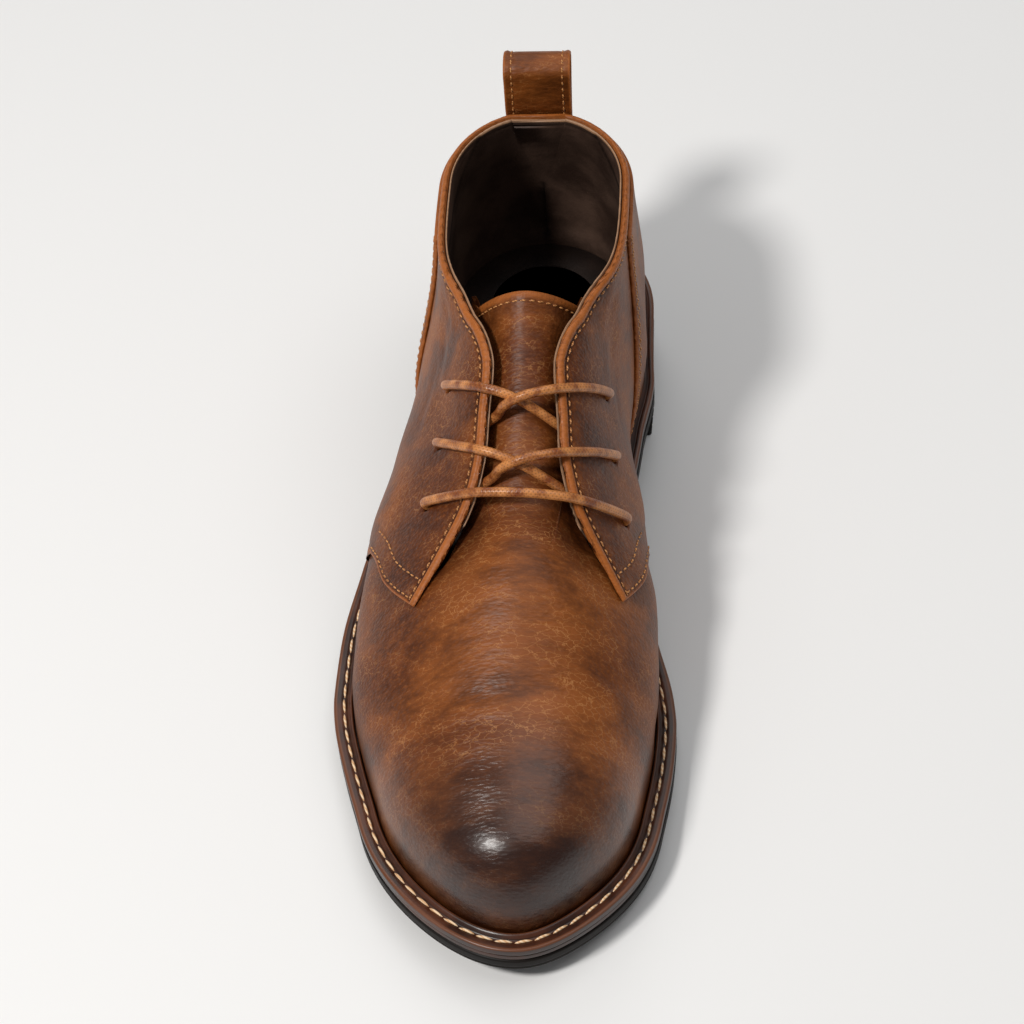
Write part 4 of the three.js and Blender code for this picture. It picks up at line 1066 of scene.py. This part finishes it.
def crossing(points, normals, field, value, backwards=False):
    # Per column, the first point from the top row (or from the bottom row) where a field passes a value.
    if not backwards:
        points, normals, field = points[:, ::-1], normals[:, ::-1], field[:, ::-1]
    past = field >= value
    k = np.argmax(past, axis=1)
    good = past.any(1) & (k > 0)
    i = np.arange(len(k))
    k = np.maximum(k, 1)
    a, b = field[i, k - 1], field[i, k]
    share = ((value - a) / np.where(b - a == 0, 1, b - a))[:, None]
    return tuple(mix(values[i, k - 1], values[i, k], share)[good] for values in (points, normals))


upperThread = {"pitch": 2.9, "length": 2.2, "radius": .34, "lift": .1, "sag": .24, "lean": .04}


def sewUpper(name, seams):
    # The upper's seams, all in the same brown thread.
    wear(stitchMesh(name, seams, upperThread, "upper_leather"), brownThread)


seams = [crossing(quarterOuter, quarterNormal, fromTop, quarter["stitchIn"])]
for part in (slice(0, flapCount + 6), slice(-flapCount - 6, None)):
    for distance in quarter["flapRows"]:
        line, up = crossing(quarterOuter[part], quarterNormal[part], fromFlap[part], distance, True)
        clear = nearest(line, alongLine(topEdge, 900)) > quarter["stitchIn"] - (.2 if distance < 4 else -.6)
        seams.append((line[clear], up[clear]))
sewUpper("quarterStitches", seams)

# Vamp and tongue: one sheet, from the welt over the toe and up under the facings to the tongue's top
vamp = {"columns": 151, "rows": 210, "hidden": 9.0, "tongueStart": (44.0, 60.0), "thickness": 1.6,
        "hiddenUp": [0, 4, 17, 28, 36.5, 44], "hiddenAlong": [.49, .497, .515, .55, .605, .63]}
# Flex marks over the ball: (place, across, half length, bow, depth, width)
vampFlex = [(233, -6, 34, 9, .34, 3.4), (244, 8, 30, 8, .26, 3.2), (222, -30, 15, 5, .3, 2.8),
            (221, 30, 14, 5, .28, 2.8), (256, -2, 24, 6, .18, 3.4), (214, 0, 16, 4, .16, 3.0)]


def vampFlexed(place, across):
    # Troughs that bow round the foot's axis, each with a low ridge on its toe side.
    total = 0 * place
    for at, middle, half, bow, depth, width in vampFlex:
        off = place - at + bow * ((across - middle) / half) ** 2
        trough = .6 * bell(off, 1.7 * width, width) - bell(off, 0, width)
        total = total + smooth(half, half * .35, abs(across - middle)) * depth * trough
    return total


# The way down the instep: square on to it, the lace's strands look straight and the tongue's top level
slopeStart, slopeEnd = (lastPoint(climb(share * length, 0.0), 0.0) for share in (.435, .66))
downSlope = unit((slopeEnd - slopeStart) * [0, 1, 1])
widenAt = through(tongueTable, "along", "widen")


def vampGrid():
    # turn = b x the limit of its row, run = a x the run of the tongue's top edge at that turn.
    ends = tongueTable["along"][0], tongueTable["along"][-1]
    goal = overInstep(ends[0] * length, 0.0, 0.0) @ downSlope
    runs, turns = np.linspace(runOf(60.0), fineRun[-1] * .99, 220), np.linspace(-1.6, 1.6, 201)
    heights, grid = heightOf(runs)[:, None], turns[None]
    place = placeOf(heights, grid)
    reach = lastOffset(heights, grid, vampWall - sinkAt(place, heights + 0 * grid)) @ downSlope
    edgeRun = np.array([np.interp(-goal, -reach[:, j], runs) for j in range(len(turns))])
    a = np.linspace(0, 1, vamp["rows"])
    topRun = float(np.interp(0, turns, edgeRun))
    rowHeight, nearTop = heightOf(a * topRun), smooth(.72, 1, a)[:, None]
    fine = np.linspace(0, 2.6, 900)[None]
    flapPlace = np.interp(rowHeight, vamp["hiddenUp"], np.array(vamp["hiddenAlong"]) * length)
    full, limits = turnOf(flapPlace - vamp["hidden"], rowHeight, -1), {}
    for side in (-1, 1):
        edge = np.interp(-side * fine, turns, edgeRun)
        heights = heightOf(a[:, None] * (topRun + (edge - topRun) * nearTop))
        places = placeOf(heights, fine)
        tongueHalf = last["tongueHalf"] * widenAt(np.clip(places / length, *ends))
        wide = lastHalf(places, heights, side) >= tongueHalf
        limits[side] = mix(full, fine[0][np.argmax(wide, axis=1)], smooth(*vamp["tongueStart"], rowHeight))
    b = np.linspace(-1, 1, vamp["columns"])[None]
    turn = np.where(b < 0, -b * limits[-1][:, None], -b * limits[1][:, None])
    run = a[:, None] * (topRun + (np.interp(turn, turns, edgeRun) - topRun) * nearTop)
    return heightOf(run), turn


vampHeight, vampTurn = vampGrid()
vampPlace = placeOf(vampHeight, vampTurn)
vampNormal = lastNormal(vampHeight, vampTurn)
across = lastPoint(vampHeight, vampTurn)[..., 0] - centreX
level = vampWall - sinkAt(vampPlace, vampHeight)
level = level + vampFlexed(vampPlace, across) * smooth(190, 206, vampPlace)
vampSheet = lastPoint(vampHeight, vampTurn) + vampNormal * level[..., None]
fromTongueTop = nearest(vampSheet, alongLine(vampSheet[-1], 300))
round_ = rolled(fromTongueTop, .8)
thick = vamp["thickness"] / 2
vampOuter = vampSheet - vampNormal * (thick * (1 - round_))[..., None]
vampInner = vampSheet - vampNormal * (thick * (1 + round_))[..., None]
# Painted shade where the vamp turns under towards the welt, kept in the burnish mask beside the toe's real
# burnish
lowSidesShade = .62 * smooth(24, 3, vampHeight) * smooth(150, 240, vampPlace)
burnish = np.maximum(.95 * smooth(236, 278, vampPlace), lowSidesShade)
# Painted shade on the vamp under the facings' edges, and evenly on its inside
shadeUnderFacings = .45 * smooth(200, 176, vampPlace) * smooth(26, 36, vampHeight) * smooth(9, 17, abs(across))
vampPiece = wear(leatherSheet(
    "vampAndTongue", vampOuter, vampInner, "upper_leather", edge=(.8 * smooth(2.6, 1.8, fromTongueTop), 0),
    shade=(shadeUnderFacings, .4), burnish=(burnish, 0), polish=(smooth(222, 264, vampPlace), 0)), leather)
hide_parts("upper", "tongue")
line, up = crossing(vampOuter.transpose(1, 0, 2), vampNormal.transpose(1, 0, 2), fromTongueTop.T, 3.1)
sewUpper("tongueStitches", [(line[3:-3], up[3:-3])])
print("vamp and tongue ready")

# Lining of the quarters, with the heel's lining panel laid over it and a seam down its middle
lining = {"columns": 150, "rows": 84, "thickness": .62, "foot": 2.5, "panelRise": .35}
heelPanel = {"up": [20, 40, 60, 78, 90], "half": [44, 35, 26, 15, 12]}


def liningCurves(side):
    # Above as the quarters; below the foot and a straight front edge under the vamp.
    facing = facingCurve(side, .59)
    collar = collarCurve(side, facing[0][0], facing[1][0])
    foot = weltCurve(side, 134.0, lining["foot"])
    share = np.linspace(0, 1, 120)
    run = mix(runOf(lining["foot"]), runOf(facing[0][-1]), share)
    front = (heightOf(run), mix(foot[1][-1], facing[1][-1], share))
    return rounded(collar, facing, 9.0), (foot, front)


liningHeight, liningTurn = panel(lining["columns"], lining["rows"], liningCurves, (.52, .6))
liningNormal = lastNormal(liningHeight, liningTurn)
base = lastPoint(liningHeight, liningTurn)
fromEdge = nearest(base + .3 * liningNormal, alongLine((base + .3 * liningNormal)[:, -1], 800))
round_ = rolled(fromEdge, .5)
fromMiddle, fromBack = abs(base[..., 0] - centreX), length / 2 - base[..., 1]
panelHalf = np.interp(liningHeight, heelPanel["up"], heelPanel["half"])
onPanel = smooth(.5, -.5, fromMiddle - panelHalf) * smooth(120, 100, fromBack)
seam = bell(fromMiddle, 0, .7) * smooth(60, 40, fromBack)
panelSeam = bell(fromMiddle, panelHalf, .7) * smooth(120, 100, fromBack)
thick = lining["thickness"] / 2
innerLevel = -onPanel * lining["panelRise"] + .3 * seam + .15 * bell(fromEdge, 2.6, .5)
liningOuter = base + liningNormal * (thick + thick * round_)[..., None]
liningInner = base + liningNormal * mix(thick, innerLevel, round_)[..., None]
edgeMask = smooth(.9, .45, fromEdge)
liningShade = np.max([.85 * panelSeam, .85 * seam, .4 * onPanel], axis=0)
wear(leatherSheet("liningLeather", liningOuter, liningInner, "lining_leather",
                  edge=(edgeMask, edgeMask), shade=(liningShade, liningShade)), liningFinish)
print("lining ready")

# Counter: a layer round the heel over the quarters
counter = {"columns": 130, "rows": 76, "foot": 4.7, "drop": 3.2, "stitchIn": (1.9, 3.7)}


def counterGrid():
    # turn = u x the turn of its front edge; height = from the foot up to a distance under the collar.
    u, v = np.linspace(-1, 1, 2 * counter["columns"] - 1)[:, None], eased(counter["rows"])[None]
    around = np.linspace(.9, 2 * np.pi - .9, 160)
    top = settle(around, collarLevel, 72, quarterWall + last["counterThickness"])
    guess = mix(counter["foot"], 78.0, v) + 0 * u
    for _ in range(4):
        frontTurn = turnOf(counterAt(guess / ankle) * length, guess, -1)
        turn = np.pi + u * (np.pi - frontTurn)
        guess = mix(counter["foot"], np.interp(turn, around, top) - counter["drop"], v)
    return guess, turn


counterHeight, counterTurn = counterGrid()
counterNormal = lastNormal(counterHeight, counterTurn)
low, high = quarterWall + .08, quarterWall + last["clearance"] + last["counterThickness"]
counterBase = lastOffset(counterHeight, counterTurn, high)
border = np.concatenate([counterBase[0], counterBase[:, -1], counterBase[-1, ::-1]])
fromBorder = nearest(counterBase, alongLine(border, 900))
fronts = np.minimum(*(nearest(counterBase, alongLine(counterBase[k], 300)) for k in (0, -1)))
dents = sum(.14 * bell(fronts, row, .5) for row in counter["stitchIn"])
counterLevel = (low - high) * (1 - rolled(fromBorder, .55)) * .8 - dents
counterOuter = counterBase + counterNormal * counterLevel[..., None]
counterInner = counterBase + counterNormal * (low - high)
counterPiece = wear(leatherSheet(
    "heelCounter", counterOuter, counterInner, "upper_leather", edge=(.8 * smooth(1.1, .3, fromBorder), 0),
    shade=(.3 * smooth(20, 4, counterHeight), 0)), leather)
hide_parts("counter")
seams = []
for part in (slice(0, counter["columns"]), slice(-counter["columns"], None)):
    for distance in counter["stitchIn"]:
        half, normal = (grid[part].transpose(1, 0, 2) for grid in (counterOuter, counterNormal))
        line, up = crossing(half, normal, fronts[part].T, distance, part.start == 0)
        seams.append((line[4:-3], up[4:-3]))
sewUpper("counterStitches", seams)
print("counter ready")

# Pull loop: a folded strap behind the collar
strap = {
    "width": 23.0, "thickness": 1.5, "top": 117.0, "spread": 8.0, "foot": 76.0, "steps": 130, "columns": 41,
    "stitchIn": 2.8,
    "rows": [("foot", 0, .5, 0), ("foot", .5, .5, 0), ("foot", .72, 1, .05), ("foot", .95, 1.5, .16),
             ("collar", .3, 1.5, .52), ("collar", .62, 1.5, .92), ("collar", .84, 1.4, 1),
             ("collar", .97, 1, .5),
             ("collar", .84, .6, 0), ("collar", .5, .5, 0), ("collar", 0, .5, 0), ("foot", .78, .5, 0)],
}


def catmull(rows, count):
    # Uniform Catmull-Rom curve through rows of numbers, ends repeated.
    rows = np.asarray(rows, float)
    t = np.linspace(0, len(rows) - 1, count)
    i = np.clip(t.astype(int), 0, len(rows) - 2)
    w = (t - i)[:, None]
    p0, p1, p2, p3 = (rows[np.clip(i + k, 0, len(rows) - 1)] for k in (-1, 0, 1, 2))
    a, b = (p2 - p0) / 2, (p3 - p1) / 2
    return (2 * p1 - 2 * p2 + a + b) * w ** 3 + (-3 * p1 + 3 * p2 - 2 * a - b) * w ** 2 + a * w + p1


def heelPlace(height, across):
    # Place on the back of the last where it is that far from its middle.
    height, across = np.broadcast_arrays(height, across)
    side = np.where(across < 0, -1, 1)
    back = backOf(height)
    return halved(back, back + last["shaftRounding"], lambda p: lastHalf(p, height, side) < abs(across))[0]


def pullStrap():
    # Middle line (out, up) by the table; each point goes back to the heel's own curve at its height.
    start = quarterWall + last["counterThickness"] + 2 * last["clearance"]
    line = [(start + s * (strap["thickness"] + .3) + spread * strap["spread"],
             mix(strap["foot"], last["collarHeight"], up) if origin == "foot"
             else mix(last["collarHeight"], strap["top"] - strap["thickness"] / 2, up))
            for origin, up, s, spread in strap["rows"]]
    middle = catmull(line, strap["steps"])
    ahead = unit(np.gradient(middle, axis=0))
    normal = np.stack([ahead[:, 1], -ahead[:, 0]], -1)
    share = np.sin(np.linspace(-np.pi / 2, np.pi / 2, strap["columns"]))
    bulge = np.sqrt(np.clip(1 - abs(share) ** 14, 0, 1)) * .92 + .08 * (abs(share) < 1)
    inset = (1 - abs(share)) * strap["width"] / 2
    thick = strap["thickness"] / 2 * bulge * (1 - .22 * bell(inset, strap["stitchIn"], .7))
    across = share * strap["width"] / 2

    def layer(sign):
        spot = middle[:, None] + sign * normal[:, None] * thick[:, None]
        height = np.minimum(spot[..., 1] - footbed(0.0), last["collarHeight"] - footbed(0.0))
        wide = np.broadcast_to(across, height.shape)
        place = heelPlace(height, wide)
        sideways = (heelPlace(height, wide + 1) - heelPlace(height, wide - 1)) / 2
        upward = heelPlace(height + 1, wide) - heelPlace(height, wide)
        steep = np.sqrt(1 + sideways ** 2 + upward ** 2)
        return np.stack([centreX + wide, length / 2 - place + spot[..., 0] * steep, spot[..., 1]], -1)
    return layer(1), layer(-1), inset


strapOuter, strapInner, strapInset = pullStrap()
strapEdge = .8 * smooth(1.0, .3, strapInset)
strapPiece = wear(leatherSheet("pullStrap", strapOuter, strapInner, "upper_leather",
                               edge=(strapEdge, strapEdge), shade=(0, .3)), leather)
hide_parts("pull_loop")
outwards = unit(strapOuter - strapInner)
fromSeam = abs(strapInset - strap["stitchIn"])
half = strap["columns"] // 2 + 1
sewUpper("strapStitches", [(strapOuter[2:-2, column], outwards[2:-2, column])
                           for column in (np.argmin(fromSeam[:half - 1]), half + np.argmin(fromSeam[half:]))])
print("pull loop ready")

# Lace: one cord through the six holes, two crossings and the bar below them
# Strand over a crossing: share of the way to the upper hole, across, height of the over and the under strand
crossingTable = [
    (0, 1, .31, .31), (.011, .978, .09, .09), (.038, .924, 0, 0), (.15, .7, -.01, -.01), (.31, .38, 0, -.01),
    (.4, .2, .56, .06), (.5, 0, .98, .3), (.6, -.2, 1.06, .72), (.69, -.38, 1.03, 1.04),
    (.85, -.7, 1.02, 1.02), (.962, -.924, 1, 1), (.989, -.978, .91, .91), (1, -1, .69, .69),
]
# The bar below them: across, height
barTable = [
    (-1, .69), (-.978, .91), (-.924, 1), (-.6, 1.06), (-.4, 1.05), (-.2, .93), (0, .88), (.2, .93), (.4, 1.05),
    (.6, 1.06), (.924, 1), (.978, .91), (1, .69),
]
lace = {"rings": 1300, "sides": 18}


def lacePath():
    # A strand goes straight over the instep: seen square on, its points lie on the line between its holes.
    radius, wide = last["laceDiameter"] / 2, last["flapHalf"]
    beneath, above = -(last["clearance"] + radius), quarterWall + 2 * last["clearance"] + radius
    top, middle, bottom = eyelets

    def strand(lower, upper, side, level):
        return [(*lower, side, *upper, -side, row[0], side * row[1], row[level]) for row in crossingTable]

    def hidden(hole, side):
        return [(*hole, side, *hole, -side, 0, side * row[1], row[3]) for row in crossingTable[:3]]
    left = strand(bottom, middle, -1, 2) + strand(middle, top, 1, 3) + hidden(top, -1)
    right = strand(bottom, middle, 1, 3) + strand(middle, top, -1, 2) + hidden(top, 1)
    bar = [(*bottom, -1, *bottom, 1, (across + 1) / 2, across, height) for across, height in barTable]
    rows = np.array(left[::-1] + bar + right)
    along, out, side, nextAlong, nextOut, nextSide, toward, across, height = rows.T
    goal = mix(overInstep(along * length, side * out * wide, 0.0) @ downSlope,
               overInstep(nextAlong * length, nextSide * nextOut * wide, 0.0) @ downSlope, toward)
    place, aside = mix(along, nextAlong, toward) * length, across * mix(out, nextOut, toward) * wide
    for _ in range(12):
        place = place - (goal - overInstep(place, aside, 0.0) @ downSlope) * downSlope[1]
    return overInstep(place, aside, mix(beneath, above, height))


def centripetal(points, count):
    # Catmull-Rom curve whose knots go by the root of the spacing, its ends drawn on in line.
    points = points[np.concatenate([[True], np.linalg.norm(np.diff(points, axis=0), axis=1) > 1e-4])]
    ends = np.stack([2 * points[0] - points[1], 2 * points[-1] - points[-2]])
    full = np.concatenate([ends[:1], points, ends[1:]])
    knot = np.concatenate([[0], np.cumsum(np.sqrt(np.linalg.norm(np.diff(full, axis=0), axis=1)))])
    t = np.linspace(knot[1], knot[-2] - 1e-9, count)
    i = np.clip(np.searchsorted(knot, t, side="right") - 1, 1, len(full) - 3)
    p0, p1, p2, p3 = (full[i + k] for k in (-1, 0, 1, 2))
    t0, t1, t2, t3 = (knot[i + k][:, None] for k in (-1, 0, 1, 2))
    t = t[:, None]
    a1, a2, a3 = ((b * (t - u) + a * (w - t)) / (w - u)
                  for a, b, u, w in ((p0, p1, t0, t1), (p1, p2, t1, t2), (p2, p3, t2, t3)))
    b1, b2 = ((b * (t - u) + a * (w - t)) / (w - u) for a, b, u, w in ((a1, a2, t0, t2), (a2, a3, t1, t3)))
    return (b2 * (t - t1) + b1 * (t2 - t)) / (t2 - t1)


def cordMesh(name, path, radius, sides):
    # Round rings along the path; each ring's frame is carried on from the one before.
    path = alongLine(path, lace["rings"])
    ahead = unit(np.gradient(path, axis=0))
    normal, frames = np.array([0, 0, 1.0]), []
    for tangent in ahead:
        normal = unit(normal - tangent * (normal @ tangent))
        frames.append(normal)
    frames = np.array(frames)
    run = np.linspace(0, runAlong(path)[-1], len(path))
    end = np.maximum(rolled(np.minimum(run, run[::-1]), radius), math.sqrt(.02))
    points, faces = capped(circles(path, frames, np.cross(ahead, frames), radius * end, sides))
    turn = np.linspace(0, 2 * np.pi, sides, endpoint=False)
    masks = {"along": np.concatenate([np.repeat(run, sides), run[[0, -1]]]),
             "turn": np.concatenate([np.tile(turn, len(path)), [0, 0]])}
    return makeMesh(name, points, faces, "lace_cord", masks)


laceLine = centripetal(lacePath(), 4000)
lacePiece = wear(cordMesh("roundLace", laceLine, last["laceDiameter"] / 2, lace["sides"]), laceCotton)
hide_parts("lace")
print("lace ready")

# Floor, light and camera
def makeFloor():
    # Seamless studio paper, pale grey and matt.
    material, add, shader = newMaterial("paleStudioPaper")
    connect(shader, Base_Color=toLinear("#E9E9E9"), Roughness=.9)
    size = 6000
    corners = [(-size, -size, 0), (size, -size, 0), (size, size, 0), (-size, size, 0)]
    floor = addObject("studioFloor", meshOf("studioFloor", corners, [(0, 1, 2, 3)]))
    wear(floor, material)


def addLamp(name, place, aim, size, power, colour):
    # Round soft light at a place, turned to its aim.
    lamp = bpy.data.lights.new(name, "AREA")
    lamp.shape, lamp.size, lamp.energy, lamp.color = "DISK", size, power, colour
    obj = addObject(name, lamp)
    obj.location = place
    obj.rotation_euler = (Vector(aim) - Vector(place)).to_track_quat("-Z", "Y").to_euler()


makeFloor()
addLamp("mainSoftLight", (-.68, -.6, 1.3), (0, 0, .03), .27, 17, (1, .975, .94))
addLamp("ridgeLight", (-.25, 1.0, 1.1), (0, 0, .05), .8, 3, (1, .985, .96))
addLamp("overheadLight", (.45, .25, 1.6), (0, 0, .03), 1.5, 8, (1, 1, 1))
world = bpy.data.worlds.new("studioWorld")
world.use_nodes = True
connect(world.node_tree.nodes["Background"], Color=(1, 1, 1, 1), Strength=.2)
bpy.context.scene.world = world
bpy.context.scene.view_settings.view_transform = "Standard"

# Camera: the photograph's station and lens, turned so that the boot stands in the middle of the picture
view = {"place": (.0612, -.5425, .6805), "pitch": 50.0, "pixels": 2565.0, "aim": (330, 493), "across": 1024}
pitch, middle = math.radians(view["pitch"]), view["across"] / 2
level = np.array([0, math.cos(pitch), -math.sin(pitch)])
above = np.array([0, math.sin(pitch), math.cos(pitch)])
toRight, upwards = view["aim"][0] - middle, middle - view["aim"][1]
ahead = unit(level * view["pixels"] + np.array([1.0, 0, 0]) * toRight + above * upwards)
right = unit(np.array([1.0, 0, 0]) - ahead * ahead[0])
camera = bpy.data.cameras.new("camera")
camera.sensor_width, camera.clip_end = 36, 20
camera.lens = camera.sensor_width * view["pixels"] / view["across"]
cameraObject = addObject("camera", camera)
turned = Matrix([right, np.cross(right, ahead), -ahead]).transposed()
cameraObject.matrix_world = Matrix.Translation(view["place"]) @ turned.to_4x4()
bpy.context.scene.camera = cameraObject

print("scene ready")
